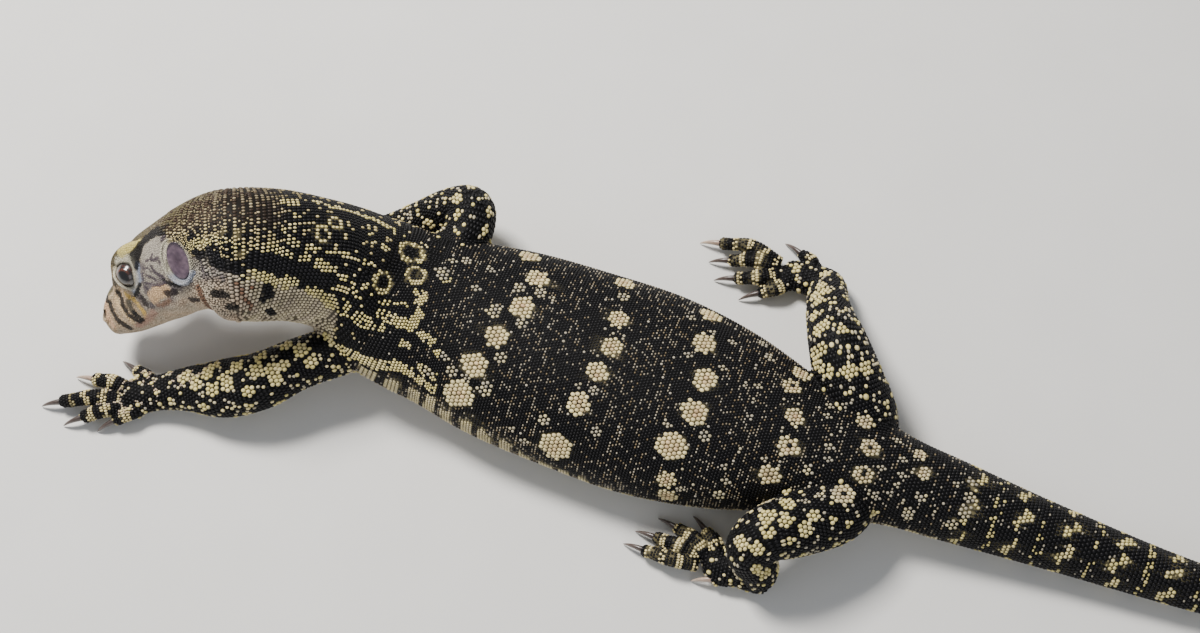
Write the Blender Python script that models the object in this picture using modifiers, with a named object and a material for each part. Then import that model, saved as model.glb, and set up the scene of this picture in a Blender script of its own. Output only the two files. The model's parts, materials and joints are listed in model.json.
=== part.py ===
"""Water monitor lizard, a still life-size model lying on its belly.

The trunk runs along X, head towards -X and tail towards +X, the left side is
towards -Y and +Z is up. The origin is on the floor under the middle of the
belly. The neck arches and turns, so that the head looks down and away to the
animal's left. Sizes are written in millimetres and made into metres where a
mesh is built.
"""
import math

import bmesh
import bpy
import numpy as np
from mathutils import Matrix, Vector
from mathutils.bvhtree import BVHTree

MM = 0.001

# Driving dimensions, in millimetres
HEAD_LENGTH = 43.0        # snout tip to the middle of the ear
TRUNK_HALF_WIDTH = 27.8
TAIL_LENGTH = 362.0       # behind the vent
GAP = 0.3                 # between pieces that touch
EYE_RADIUS = 3.6
DIGIT_RADIUS = 2.0
DIGIT_GIRTHS = (1.15, 1.05, 0.92, 1.0)   # root, knuckle, middle and tip
CLAW_LENGTH = 5.2
CLAW_RADIUS = 1.15

# The head's place and direction
SNOUT_TIP = np.array((-136.5, -30.2, 9.0))
HEAD_FORWARD = np.array((-0.586, -0.465, -0.664))
HEAD_UP = np.array((-0.801, 0.456, 0.388))
HEAD_ROLL = -58.8         # degrees about the spine, from upright

# Fineness of the flesh before and after it is thinned out
HEAD_VOXEL = 0.36
BODY_VOXEL = 0.62
HEAD_RATIO = 0.0185
BODY_RATIO = 0.0142

# Head sections: distance behind the snout tip, half width, crown above and
# chin below the line of the mouth, all as shares of the head's length
HEAD_SECTIONS = (
    (0.000, 0.014, 0.026, 0.010),
    (0.033, 0.077, 0.084, 0.060),
    (0.105, 0.119, 0.133, 0.095),
    (0.210, 0.149, 0.174, 0.137),
    (0.350, 0.181, 0.222, 0.170),
    (0.475, 0.214, 0.304, 0.196),
    (0.580, 0.243, 0.342, 0.222),
    (0.745, 0.282, 0.348, 0.256),
    (0.905, 0.305, 0.342, 0.330),
)

# Neck and trunk: centre x, y, z, half width, back above and belly below the
# centre, and roll in degrees
NECK_SECTIONS = (
    (-107.0, -8.7, 38.6, 13.4, 15.8, 18.0, -54.0),
    (-98.5, -5.0, 35.6, 13.8, 16.8, 18.4, -46.0),
    (-90.0, -1.7, 30.2, 15.0, 17.0, 16.8, -36.0),
    (-82.0, 0.8, 23.8, 17.4, 16.6, 15.6, -22.0),
    (-74.0, 0.8, 18.2, 20.2, 15.8, 15.2, -10.0),
    (-63.0, -0.4, 14.8, 22.0, 15.8, 14.8, -3.0),
)
# Trunk: centre x and z, half width as a share of the widest, back and belly
TRUNK_SECTIONS = (
    (-51.0, 13.2, 0.855, 15.8, 14.2),
    (-38.0, 12.5, 0.940, 16.2, 13.8),
    (-16.0, 12.0, 0.995, 16.9, 13.5),
    (6.0, 11.9, 1.000, 17.0, 13.4),
    (26.0, 11.8, 0.885, 16.0, 13.2),
    (46.0, 11.4, 0.665, 14.2, 12.6),
    (60.0, 11.0, 0.545, 12.8, 11.9),
)
VENT_X = 74.0
# Tail: share of its length, sideways place, half width and half height
TAIL_SECTIONS = (
    (0.000, 0.0, 11.9, 11.4),
    (0.035, 0.0, 10.9, 10.6),
    (0.100, 0.0, 9.0, 9.2),
    (0.220, 0.3, 6.4, 7.6),
    (0.350, 4.0, 5.1, 6.3),
    (0.480, 14.0, 4.1, 5.1),
    (0.610, 27.0, 3.2, 4.0),
    (0.740, 37.0, 2.4, 3.1),
    (0.860, 41.0, 1.7, 2.2),
    (0.960, 39.0, 1.0, 1.3),
    (1.000, 37.5, 0.5, 0.6),
)
TAIL_SINK = 0.93          # how much of the half height is above the floor

# Limbs: joints from the root to the end of the hand or foot, each with its
# half width and half height
LIMBS = {
    "arm_l": (
        ((-66.0, -8.0, 15.0), 7.0, 7.0),
        ((-75.6, -17.2, 14.8), 6.8, 6.8),
        ((-85.0, -24.6, 14.0), 6.8, 6.6),
        ((-93.0, -31.6, 11.6), 7.6, 7.0),
        ((-101.5, -35.8, 8.8), 7.8, 6.6),
        ((-111.0, -38.6, 6.4), 6.0, 5.0),
        ((-118.0, -41.6, 4.8), 4.8, 3.9),
        ((-124.5, -44.8, 3.7), 4.8, 3.2),
        ((-128.0, -46.8, 3.2), 3.4, 2.5),
    ),
    "arm_r": (
        ((-62.0, 6.0, 15.0), 7.0, 7.0),
        ((-59.0, 15.5, 15.5), 6.8, 6.8),
        ((-55.8, 24.6, 16.8), 6.7, 6.6),
        ((-57.4, 30.4, 16.2), 6.8, 6.8),
        ((-63.5, 30.6, 11.8), 6.0, 6.2),
        ((-71.0, 27.4, 7.2), 4.9, 4.6),
        ((-78.0, 22.8, 4.6), 4.4, 3.5),
        ((-84.6, 18.8, 3.7), 4.2, 3.0),
        ((-88.0, 17.4, 3.2), 3.3, 2.4),
    ),
    "leg_l": (
        ((62.0, -2.0, 11.5), 9.0, 9.0),
        ((60.0, -12.5, 13.0), 9.2, 9.2),
        ((52.5, -21.0, 16.2), 8.4, 8.8),
        ((45.0, -27.6, 18.0), 7.4, 7.8),
        ((42.6, -31.2, 14.6), 6.6, 7.0),
        ((45.4, -33.4, 8.8), 5.6, 6.0),
        ((46.4, -34.4, 4.9), 5.0, 4.8),
        ((38.5, -35.0, 3.9), 4.3, 3.4),
        ((31.5, -35.6, 3.3), 4.2, 2.8),
    ),
    "leg_r": (
        ((62.0, 2.0, 11.5), 9.0, 9.0),
        ((59.0, 11.0, 13.4), 9.6, 9.6),
        ((52.5, 19.0, 17.6), 9.2, 9.4),
        ((47.0, 26.5, 19.6), 8.0, 8.4),
        ((42.8, 34.0, 15.4), 6.6, 7.2),
        ((39.8, 42.0, 9.0), 5.6, 6.0),
        ((38.2, 47.0, 5.0), 5.0, 4.8),
        ((31.0, 47.6, 3.9), 4.3, 3.4),
        ((25.0, 47.6, 3.3), 4.2, 2.8),
    ),
}

# Digits: root, raised knuckle and tip of each
DIGITS = {
    "arm_l": (
        ((-120.0, -41.5, 3.4), (-124.0, -38.8, 4.4), (-127.8, -37.6, 2.8)),
        ((-124.5, -44.2, 3.2), (-131.6, -43.4, 4.8), (-137.4, -44.0, 2.8)),
        ((-126.0, -46.5, 3.2), (-135.5, -49.4, 4.6), (-143.2, -53.0, 2.6)),
        ((-125.5, -47.6, 3.2), (-131.0, -51.6, 4.4), (-136.0, -55.2, 2.6)),
        ((-121.5, -47.0, 3.2), (-124.6, -50.2, 4.0), (-127.4, -53.0, 2.6)),
    ),
    "arm_r": (
        ((-82.4, 18.4, 3.0), (-86.0, 14.6, 3.6), (-89.0, 11.6, 2.6)),
        ((-85.5, 16.6, 3.2), (-91.0, 13.6, 4.2), (-96.0, 11.4, 2.6)),
        ((-87.0, 17.4, 3.2), (-94.5, 16.4, 4.6), (-101.8, 14.8, 2.6)),
        ((-86.5, 18.8, 3.2), (-93.0, 19.6, 4.4), (-99.4, 19.4, 2.6)),
        ((-82.6, 20.2, 3.2), (-86.6, 22.8, 4.0), (-90.8, 24.0, 2.6)),
    ),
    "leg_l": (
        ((35.5, -33.0, 3.2), (32.6, -29.4, 4.0), (29.2, -27.0, 2.6)),
        ((32.0, -33.6, 3.2), (27.0, -30.6, 4.4), (21.6, -29.2, 2.6)),
        ((30.5, -35.0, 3.2), (24.0, -34.0, 4.6), (17.2, -33.6, 2.6)),
        ((31.0, -36.6, 3.2), (22.5, -38.2, 4.6), (15.4, -37.8, 2.6)),
        ((43.0, -35.4, 3.2), (39.4, -38.0, 3.6), (35.0, -39.4, 2.6)),
    ),
    "leg_r": (
        ((28.5, 45.6, 3.2), (25.0, 41.8, 4.0), (21.0, 39.4, 2.6)),
        ((25.5, 46.2, 3.2), (19.5, 43.2, 4.4), (13.4, 41.4, 2.6)),
        ((24.5, 47.6, 3.2), (17.0, 47.6, 4.8), (10.4, 45.8, 2.6)),
        ((24.5, 49.4, 3.2), (14.5, 51.2, 4.8), (6.4, 49.8, 2.6)),
        ((34.5, 50.2, 3.2), (31.6, 53.2, 4.0), (28.0, 54.8, 2.6)),
    ),
}

# Where the flesh is parted, as places along each limb's joints
NAPE = 52.0               # lengths behind the snout tip, along the spine
SHOULDER = 77.0
NAPE_RADIUS = 23.0
WAIST_X = -12.0
WAIST_RADIUS = 31.0
# Partings across a limb: place along its joints and the plate's radius
LIMB_CUTS = {
    "arm_l": ((1.45, 9.5), (3.1, 10.5), (6.0, 7.0)),
    "arm_r": ((3.7, 8.6), (6.0, 7.0)),
    "leg_l": ((3.4, 11.5),),
    "leg_r": ((3.4, 11.5),),
}
# Partings along the flank and over the foot: middle, direction and radius
PLATES = (
    ((-56.4, 24.1, 16.0), (0.0, 1.0, 0.0), 9.4),
    ((54.0, -18.0, 14.5), (0.21, -0.98, 0.0), 17.0),
    ((54.0, 18.0, 14.5), (0.21, 0.98, 0.0), 17.5),
    ((45.6, -33.8, 7.7), (-0.1, 0.0, -1.0), 10.5),
    ((39.4, 44.4, 7.9), (-0.1, 0.2, -1.0), 10.5),
)
LIMB_SEEDS = (2.4, 4.6, 7.2)
TAIL_CUTS = (0.06, 0.30, 0.54, 0.77)
MERGE = 0.002

# Colours, roughness
MATERIALS = {
    "skin": ((0.035, 0.034, 0.030), 0.55),
    "eye": ((0.030, 0.016, 0.010), 0.08),
    "eardrum": ((0.180, 0.100, 0.120), 0.30),
    "claw": ((0.060, 0.045, 0.038), 0.35),
}


def clear_scene():
    """Remove what the file holds before the model is made."""
    for item in list(bpy.data.objects):
        bpy.data.objects.remove(item)


def new_collection(name):
    group = bpy.data.collections.new(name)
    bpy.context.scene.collection.children.link(group)
    return group


def make_materials():
    made = {}
    for name, (colour, roughness) in MATERIALS.items():
        material = bpy.data.materials.new(name)
        material.use_nodes = True
        shader = material.node_tree.nodes["Principled BSDF"]
        shader.inputs["Base Color"].default_value = (*colour, 1.0)
        shader.inputs["Roughness"].default_value = roughness
        shader.inputs["Metallic"].default_value = 0.0
        made[name] = material
    return made


def smooth_between(places, values, at):
    """Hermite curve through the values, one row of values for each place."""
    places = np.asarray(places, float)
    values = np.asarray(values, float)
    slopes = np.gradient(values, places, axis=0)
    left = np.clip(np.searchsorted(places, at) - 1, 0, len(places) - 2)
    span = places[left + 1] - places[left]
    t = (at - places[left]) / span
    return (
        (2 * t**3 - 3 * t**2 + 1) * values[left]
        + (t**3 - 2 * t**2 + t) * span * slopes[left]
        + (3 * t**2 - 2 * t**3) * values[left + 1]
        + (t**3 - t**2) * span * slopes[left + 1]
    )


def unit(vector):
    return vector / np.linalg.norm(vector)


def spine_rows():
    """Sections from snout to tail: x, y, z, half width, top, bottom, roll,
    and the roundness of the section's upper half (2 is an ellipse)."""
    rows = []
    for back, width, top, bottom in HEAD_SECTIONS:
        centre = SNOUT_TIP - HEAD_FORWARD * back * HEAD_LENGTH
        sizes = (width * HEAD_LENGTH, top * HEAD_LENGTH, bottom * HEAD_LENGTH)
        rows.append((*centre, *sizes, HEAD_ROLL, 2.35))
    for x, y, z, width, top, bottom, roll in NECK_SECTIONS:
        rows.append((x, y, z, width, top, bottom, roll, 2.1))
    for x, z, share, top, bottom in TRUNK_SECTIONS:
        rows.append((x, 0.0, z, share * TRUNK_HALF_WIDTH, top, bottom, 0.0, 2.1))
    for share, side, width, height in TAIL_SECTIONS:
        keel = 2.1 - 0.45 * min(1.0, share / 0.2)
        x = VENT_X + share * TAIL_LENGTH
        rows.append((x, side, height * TAIL_SINK, width, height, height, 0.0, keel))
    return np.array(rows)


def spine_lengths(rows):
    steps = np.linalg.norm(np.diff(rows[:, :3], axis=0), axis=1)
    return np.concatenate(([0.0], np.cumsum(steps)))


def spine_frame(rows, lengths, at):
    """Section at a length along the spine, with its tailward, left and up
    directions."""
    step = 0.5
    row = smooth_between(lengths, rows, at)
    before = smooth_between(lengths, rows, max(at - step, 0.0))
    after = smooth_between(lengths, rows, min(at + step, lengths[-1]))
    tailward = unit(after[:3] - before[:3])
    upright = unit(np.array((0.0, 0.0, 1.0)) - tailward * tailward[2])
    level_left = np.cross(tailward, upright)
    roll = math.radians(row[6])
    up = upright * math.cos(roll) + level_left * math.sin(roll)
    left = np.cross(tailward, up)
    return row, tailward, left, up


def ring(centre, left, up, width, top, bottom, power, count):
    """Closed section: an oval with its own upper and lower half heights."""
    points = []
    for step in range(count):
        angle = 2 * math.pi * step / count
        across = math.copysign(abs(math.cos(angle)) ** (2 / power), math.cos(angle))
        rise = math.copysign(abs(math.sin(angle)) ** (2 / power), math.sin(angle))
        height = top if rise > 0 else bottom
        points.append(centre + left * across * width + up * rise * height)
    return points


def loft(rings):
    """One closed mesh through a row of rings of equal count."""
    mesh = bmesh.new()
    loops = [[mesh.verts.new(Vector(point) * MM) for point in row] for row in rings]
    count = len(loops[0])
    for near, far in zip(loops, loops[1:]):
        for step in range(count):
            after = (step + 1) % count
            mesh.faces.new((near[step], near[after], far[after], far[step]))
    mesh.faces.new(list(reversed(loops[0])))
    mesh.faces.new(loops[-1])
    bmesh.ops.recalc_face_normals(mesh, faces=mesh.faces)
    return mesh


def add_object(name, mesh, group):
    """Put a bmesh into the scene as a named object."""
    data = bpy.data.meshes.new(name)
    mesh.to_mesh(data)
    mesh.free()
    item = bpy.data.objects.new(name, data)
    group.objects.link(item)
    return item


def spine_loft(start, end, group, name):
    """The head, neck, trunk and tail as one skin between two lengths."""
    rows = spine_rows()
    lengths = spine_lengths(rows)
    rings = []
    for at in np.arange(start, end, 1.2):
        row, _, left, up = spine_frame(rows, lengths, at)
        rings.append(ring(row[:3], left, up, row[3], row[4], row[5], row[7], 56))
    return add_object(name, loft(rings), group)


def tube(points, sizes, group, name, count=20, step=1.0):
    """A limb or digit: ovals along a smooth curve through its joints, with
    round ends."""
    points = np.asarray(points, float)
    sizes = np.asarray(sizes, float)
    lengths = np.concatenate(
        ([0.0], np.cumsum(np.linalg.norm(np.diff(points, axis=0), axis=1)))
    )
    total = lengths[-1]
    cap = min(sizes[-1].mean(), total / 3)
    places = np.arange(0.0, total, step)
    caps = total - cap * (1 - np.sin(np.linspace(0, math.pi / 2, 5)))
    places = np.unique(np.concatenate((places[places < total - cap], caps)))
    rings = []
    for at in places:
        centre = smooth_between(lengths, points, at)
        ahead = smooth_between(lengths, points, min(at + 0.3, total))
        behind = smooth_between(lengths, points, max(at - 0.3, 0.0))
        along = unit(ahead - behind)
        steep = abs(along[2]) >= 0.9
        lead = np.array((1.0, 0.0, 0.0)) if steep else np.array((0.0, 0.0, 1.0))
        up = unit(lead - along * along.dot(lead))
        left = np.cross(up, along)
        width, height = smooth_between(lengths, sizes, at)
        if at > total - cap:
            shrink = math.sqrt(max(0.02, 1 - ((at - total + cap) / cap) ** 2))
            width, height = width * shrink, height * shrink
        rings.append(ring(centre, left, up, width, height, height, 2.0, count))
    return add_object(name, loft(rings), group)


def head_point(back, left, up):
    """A place in the head, from the snout tip, in millimetres."""
    aside = np.cross(HEAD_UP, HEAD_FORWARD)
    return SNOUT_TIP - HEAD_FORWARD * back + aside * left + HEAD_UP * up


def head_matrix(point, outward, along):
    """A frame on the head: Z outward, X along."""
    z = Vector(outward).normalized()
    y = z.cross(Vector(along)).normalized()
    x = y.cross(z)
    turn = Matrix((x, y, z)).transposed().to_4x4()
    return Matrix.Translation(Vector(point) * MM) @ turn


def ball(name, group, matrix, sizes, rings=10, segments=16):
    """An ellipsoid of three half sizes in a given frame."""
    mesh = bmesh.new()
    bmesh.ops.create_uvsphere(mesh, u_segments=segments, v_segments=rings, radius=1.0)
    stretch = Matrix.Diagonal((sizes[0] * MM, sizes[1] * MM, sizes[2] * MM, 1.0))
    bmesh.ops.transform(mesh, matrix=matrix @ stretch, verts=mesh.verts)
    return add_object(name, mesh, group)


# Places on the head, in millimetres behind, beside and above the snout tip
EYE = (23.6, 8.1, 8.2)
LID = (23.7, 10.7, 8.4)
LID_HALF = (4.0, 3.4)
LID_THICKNESS = 1.1
OPENING_HALF = (3.7, 3.2, 3.4)
BROW = (26.0, 5.8, 9.8)
BROW_HALF = (6.8, 5.1, 5.1)
# Ridge from the nostril over the eye: behind, beside, above and radius
CANTHUS = (
    (4.5, 3.0, 4.0, 1.3),
    (9.0, 4.2, 4.6, 1.4),
    (13.5, 5.0, 5.4, 1.6),
    (18.0, 6.4, 8.8, 1.9),
    (23.0, 7.4, 12.8, 1.9),
    (28.5, 7.4, 13.2, 1.6),
    (34.0, 6.8, 10.8, 0.9),
)
EAR = (42.7, 13.4, 3.4)
NOSTRIL = (5.2, 4.3, 3.6)
NOSE_HALF = (3.2, 2.0, 0.6)
EAR_HALF = (3.4, 5.6, 3.1)
EAR_RIM = (3.9, 6.0)
EAR_LEAN = 0.45
EARDRUM_HALF = (2.5, 4.25, 0.5)
LIP_RADIUS = 0.34
LIP_ANGLE = 24.0          # degrees below the widest level of the snout
# Folds of loose skin under the throat: length along the spine, how far below
# the cheek they start in degrees, radius
THROAT_FOLDS = ((44.0, 22.0, 2.8), (49.0, 34.0, 1.2))


def side_direction(side, back=0.0, up=0.0):
    """A direction out of the head's left (1) or right (-1) cheek."""
    aside = np.cross(HEAD_UP, HEAD_FORWARD)
    return unit(aside * side - HEAD_FORWARD * back + HEAD_UP * up)


def head_surface(back, angle, sink=0.0):
    """A point on the head's section, the angle in degrees from the left."""
    rows = spine_rows()
    lengths = spine_lengths(rows)
    row, _, left, up = spine_frame(rows, lengths, back)
    turn = math.radians(angle)
    across = math.copysign(abs(math.cos(turn)) ** (2 / row[7]), math.cos(turn))
    rise = math.copysign(abs(math.sin(turn)) ** (2 / row[7]), math.sin(turn))
    height = row[4] if rise > 0 else row[5]
    out = left * across * row[3] + up * rise * height
    return row[:3] + out * (1 - sink / np.linalg.norm(out))


def lip_path():
    """The line of the mouth, from the left corner round the snout."""
    places = list(np.linspace(33.0, 2.0, 14))
    left = [head_surface(back, -LIP_ANGLE) for back in places]
    right = [head_surface(back, 180 + LIP_ANGLE) for back in reversed(places)]
    front = [head_surface(0.7, angle) for angle in (-LIP_ANGLE, 180 + LIP_ANGLE)]
    return left + front + right


def head_pieces(group):
    """The head's own forms, which the flesh is made from."""
    for side in (1, -1):
        tag = "l" if side > 0 else "r"
        back, aside, up = BROW
        brow = head_point(back, aside * side, up)
        matrix = head_matrix(brow, side_direction(side, 0.0, 0.4), -HEAD_FORWARD)
        ball("orbit_" + tag, group, matrix, BROW_HALF, 12, 20)
        ridge = [head_point(b, s * side, u) for b, s, u, _ in CANTHUS]
        girth = [(radius, radius) for *_, radius in CANTHUS]
        tube(ridge, girth, group, "canthus_" + tag, 12)
        cheek = head_point(34.0, 9.5 * side, -2.0)
        matrix = head_matrix(cheek, side_direction(side, 0.1, -0.1), -HEAD_FORWARD)
        ball("cheek_" + tag, group, matrix, (8.5, 6.5, 3.4), 10, 18)
        rim = head_point(*(EAR[0], EAR[1] * side, EAR[2]))
        matrix = ear_matrix(side, rim)
        torus_ring("ear_rim_" + tag, group, matrix, EAR_RIM, 0.7)
        torus_ring("lid_" + tag, group, eye_opening(side), LID_HALF, 0.6)
        eye = head_point(EYE[0], EYE[1] * side, EYE[2])
        matrix = head_matrix(eye, side_direction(side), -HEAD_FORWARD)
        ball("lids_" + tag, group, matrix, (EYE_RADIUS + LID_THICKNESS,) * 3, 14, 22)
        nostril = head_point(NOSTRIL[0], NOSTRIL[1] * side, NOSTRIL[2])
        matrix = head_matrix(nostril, side_direction(side, -0.2, 0.7), -HEAD_FORWARD)
        ball("nose_" + tag, group, matrix, NOSE_HALF, 8, 12)
    for back, angle, radius in THROAT_FOLDS:
        around = np.linspace(-angle, angle - 180.0, 13)
        fold = [head_surface(back, turn, radius * 0.45) for turn in around]
        swell = radius * np.sin(np.linspace(0.25, math.pi - 0.25, 13)) ** 0.6
        tube(fold, np.stack((swell, swell), 1), group, "fold", 10)


def ear_matrix(side, place):
    """The ear faces out and a little back, its long axis leans back."""
    leaning = HEAD_UP - HEAD_FORWARD * EAR_LEAN
    across = np.cross(leaning, side_direction(side))
    return head_matrix(place, side_direction(side, 0.12, 0.0), across)


def eye_opening(side):
    """The plane of the lids, facing out, a little up and forward."""
    place = head_point(LID[0], LID[1] * side, LID[2])
    return head_matrix(place, side_direction(side, -0.10, 0.22), -HEAD_FORWARD)


def torus_ring(name, group, matrix, half, thickness):
    """An oval ring lying in the frame's own plane."""
    mesh = bmesh.new()
    around = 24
    about = 8
    rows = []
    for step in range(around):
        angle = 2 * math.pi * step / around
        middle = Vector((math.cos(angle) * half[0], math.sin(angle) * half[1], 0.0))
        out = Vector((math.cos(angle), math.sin(angle), 0.0))
        row = []
        for turn in range(about):
            bend = 2 * math.pi * turn / about
            offset = out * math.cos(bend) + Vector((0, 0, 1)) * math.sin(bend)
            row.append(mesh.verts.new((middle + offset * thickness) * MM))
        rows.append(row)
    for step in range(around):
        near, far = rows[step], rows[(step + 1) % around]
        for turn in range(about):
            after = (turn + 1) % about
            mesh.faces.new((near[turn], far[turn], far[after], near[after]))
    bmesh.ops.recalc_face_normals(mesh, faces=mesh.faces)
    bmesh.ops.transform(mesh, matrix=matrix, verts=mesh.verts)
    return add_object(name, mesh, group)


def evaluated_copy(item, name, group):
    """A new object with the item's modifiers applied; the item is removed."""
    graph = bpy.context.evaluated_depsgraph_get()
    data = bpy.data.meshes.new_from_object(item.evaluated_get(graph))
    data.name = name
    made = bpy.data.objects.new(name, data)
    made.matrix_world = item.matrix_world
    group.objects.link(made)
    bpy.data.objects.remove(item)
    return made


def join_all(group, name):
    """All objects of a collection as one object."""
    mesh = bmesh.new()
    for item in list(group.objects):
        mesh.from_mesh(item.data)
        bpy.data.objects.remove(item)
    return add_object(name, mesh, group)


def fuse(item, voxel, smoothing, ratio, group):
    """Fuse overlapping forms into one skin, soften it and thin it out."""
    remesh = item.modifiers.new("fuse", "REMESH")
    remesh.mode = "VOXEL"
    remesh.voxel_size = voxel * MM
    soften = item.modifiers.new("soften", "SMOOTH")
    soften.factor = 0.5
    soften.iterations = smoothing
    thin = item.modifiers.new("thin", "DECIMATE")
    thin.ratio = ratio
    thin.use_collapse_triangulate = True
    return evaluated_copy(item, item.name, group)


def hide_cutter(item):
    item.hide_render = True
    item.display_type = "WIRE"


def cut_all(item, cutters, group):
    """Cut one closed mesh by every cutter in turn, then remove the cutters."""
    for cutter in list(cutters.objects):
        hide_cutter(cutter)
        change = item.modifiers.new("cut", "BOOLEAN")
        change.operation = "DIFFERENCE"
        change.object = cutter
        change.solver = "MANIFOLD"
    made = evaluated_copy(item, item.name, group)
    for cutter in list(cutters.objects):
        bpy.data.objects.remove(cutter)
    return made


def disc(name, group, centre, normal, radius, thickness):
    """A thin round plate across a limb."""
    mesh = bmesh.new()
    bmesh.ops.create_cone(
        mesh, cap_ends=True, segments=24,
        radius1=radius * MM, radius2=radius * MM, depth=thickness * MM,
    )
    turn = Vector(normal).to_track_quat("Z", "Y").to_matrix().to_4x4()
    place = Matrix.Translation(Vector(centre) * MM)
    bmesh.ops.transform(mesh, matrix=place @ turn, verts=mesh.verts)
    return add_object(name, mesh, group)


def claw_path(limb, index):
    """Root, bend and point of one claw, hooked down to the floor."""
    _, knuckle, tip = (np.array(place) for place in DIGITS[limb][index])
    ahead = unit((tip - knuckle) * np.array((1.0, 1.0, 0.0)))
    root = tip - ahead * 1.3 + np.array((0.0, 0.0, 0.3))
    middle = tip + ahead * CLAW_LENGTH * 0.50 + np.array((0.0, 0.0, 0.5))
    point = tip + ahead * CLAW_LENGTH * 0.92 - np.array((0.0, 0.0, 2.2))
    return root, middle, point, ahead


def claw(limb, index, group, swell=0.0):
    """One claw, flat-sided and tapering; swell makes it larger all round."""
    root, middle, point, ahead = claw_path(limb, index)
    side = np.cross(np.array((0.0, 0.0, 1.0)), ahead)
    rings = []
    for t in (0.0, 0.3, 0.6, 0.82, 0.98):
        centre = root * (1 - t) ** 2 + middle * 2 * t * (1 - t) + point * t**2
        along = unit(2 * (1 - t) * (middle - root) + 2 * t * (point - middle))
        if t == 0.0:
            centre = centre - along * swell
        girth = CLAW_RADIUS * (1 - t) ** 0.8 + 0.12
        width = girth * 0.8 + swell
        height = girth + swell
        rise = np.cross(along, side)
        rings.append(ring(centre, side, rise, width, height, height, 2.0, 6))
    return add_object("claw", loft(rings), group)


def limb_point(limb, place):
    """A point along a limb's joints and the direction there."""
    joints = np.array([joint[0] for joint in LIMBS[limb]])
    steps = np.arange(len(joints))
    here = smooth_between(steps, joints, place)
    ahead = smooth_between(steps, joints, place + 0.05)
    behind = smooth_between(steps, joints, place - 0.05)
    return here, unit(ahead - behind)


def body_pieces(group, start):
    """Neck, trunk, tail, limbs and digits, overlapping where they join."""
    spine_loft(start, spine_lengths(spine_rows())[-1], group, "spine")
    for limb, joints in LIMBS.items():
        places = [joint[0] for joint in joints]
        tube(places, [joint[1:] for joint in joints], group, limb)
        for root, knuckle, tip in DIGITS[limb]:
            middle = (np.array(knuckle) + np.array(tip)) / 2
            sizes = [(DIGIT_RADIUS * share,) * 2 for share in DIGIT_GIRTHS]
            tube((root, knuckle, middle, tip), sizes, group, "digit", 12, 0.8)


def floor_cutter(group):
    """Everything below the floor, which leaves small flats to rest on."""
    mesh = bmesh.new()
    bmesh.ops.create_cube(mesh, size=1.0)
    place = Matrix.Translation(Vector((150.0, 0.0, -20.0)) * MM)
    size = Matrix.Diagonal((800.0 * MM, 400.0 * MM, 40.0 * MM, 1.0))
    bmesh.ops.transform(mesh, matrix=place @ size, verts=mesh.verts)
    return add_object("floor", mesh, group)


def spine_disc(at, radius, group):
    rows = spine_rows()
    row, tailward, _, _ = spine_frame(rows, spine_lengths(rows), at)
    return disc("parting", group, row[:3], tailward, radius, GAP)


def vent_length():
    rows = spine_rows()
    return spine_lengths(rows)[len(rows) - len(TAIL_SECTIONS)]


def tail_length_at(share):
    rows = spine_rows()
    vent = vent_length()
    return vent + share * (spine_lengths(rows)[-1] - vent)


def body_partings(group):
    """Thin round plates that part the body where a person would name it."""
    spine_disc(NAPE, NAPE_RADIUS, group)
    spine_disc(SHOULDER, NAPE_RADIUS, group)
    disc("parting", group, (WAIST_X, 0.0, 14.0), (1.0, 0.0, 0.0), WAIST_RADIUS, GAP)
    for share in TAIL_CUTS:
        spine_disc(tail_length_at(share), 16.0 - 8.0 * share, group)
    for limb, cuts in LIMB_CUTS.items():
        for place, radius in cuts:
            here, ahead = limb_point(limb, place)
            disc("parting", group, here, ahead, radius, GAP)
    for middle, direction, radius in PLATES:
        disc("parting", group, middle, direction, radius, GAP)


def claw_sockets(group):
    """Each claw again, larger by the gap, to seat it in its digit."""
    for limb in LIMBS:
        for index in range(len(DIGITS[limb])):
            claw(limb, index, group, GAP)


def head_cutters(group):
    """Eye sockets, ear cups, nostrils and the line of the mouth."""
    for side in (1, -1):
        place = head_point(EYE[0], EYE[1] * side, EYE[2])
        eye = head_matrix(place, side_direction(side), -HEAD_FORWARD)
        socket = EYE_RADIUS + GAP
        ball("socket", group, eye, (socket, socket, socket), 8, 14)
        ball("opening", group, eye_opening(side), OPENING_HALF, 8, 14)
        ear = ear_matrix(side, head_point(EAR[0], (EAR[1] + 0.3) * side, EAR[2]))
        ball("cup", group, ear, EAR_HALF, 8, 14)
        nostril = head_point(NOSTRIL[0], (NOSTRIL[1] + 0.6) * side, NOSTRIL[2] + 0.9)
        matrix = head_matrix(nostril, side_direction(side, -0.2, 0.7), -HEAD_FORWARD)
        ball("nostril", group, matrix, (1.1, 0.7, 1.3), 6, 8)
    path = lip_path()
    tube(path, [(LIP_RADIUS, LIP_RADIUS)] * len(path), group, "mouth", 6, 4.0)


def part_seeds():
    """Each node of flesh, with a point inside it."""
    rows = spine_rows()
    lengths = spine_lengths(rows)
    seeds = {
        "head": head_point(34.0, 0.0, 1.0),
        "neck": smooth_between(lengths, rows, (NAPE + SHOULDER) / 2)[:3],
        "torso_front": np.array((-45.0, 0.0, 13.0)),
        "torso_rear": np.array((30.0, 0.0, 12.0)),
    }
    ends = (*TAIL_CUTS, 0.98)
    for number, (near, far) in enumerate(zip(ends, ends[1:]), 1):
        middle = tail_length_at((near + far) / 2)
        seeds["tail_%d" % number] = smooth_between(lengths, rows, middle)[:3]
    for limb in LIMBS:
        for tag, place in zip(("upper", "lower", "end"), LIMB_SEEDS):
            name = "%s_%s_%s" % (limb[:3], tag, limb[-1])
            name = name.replace("arm_end", "hand").replace("leg_end", "foot")
            seeds[name] = limb_point(limb, place)[0]
    return seeds


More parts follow.
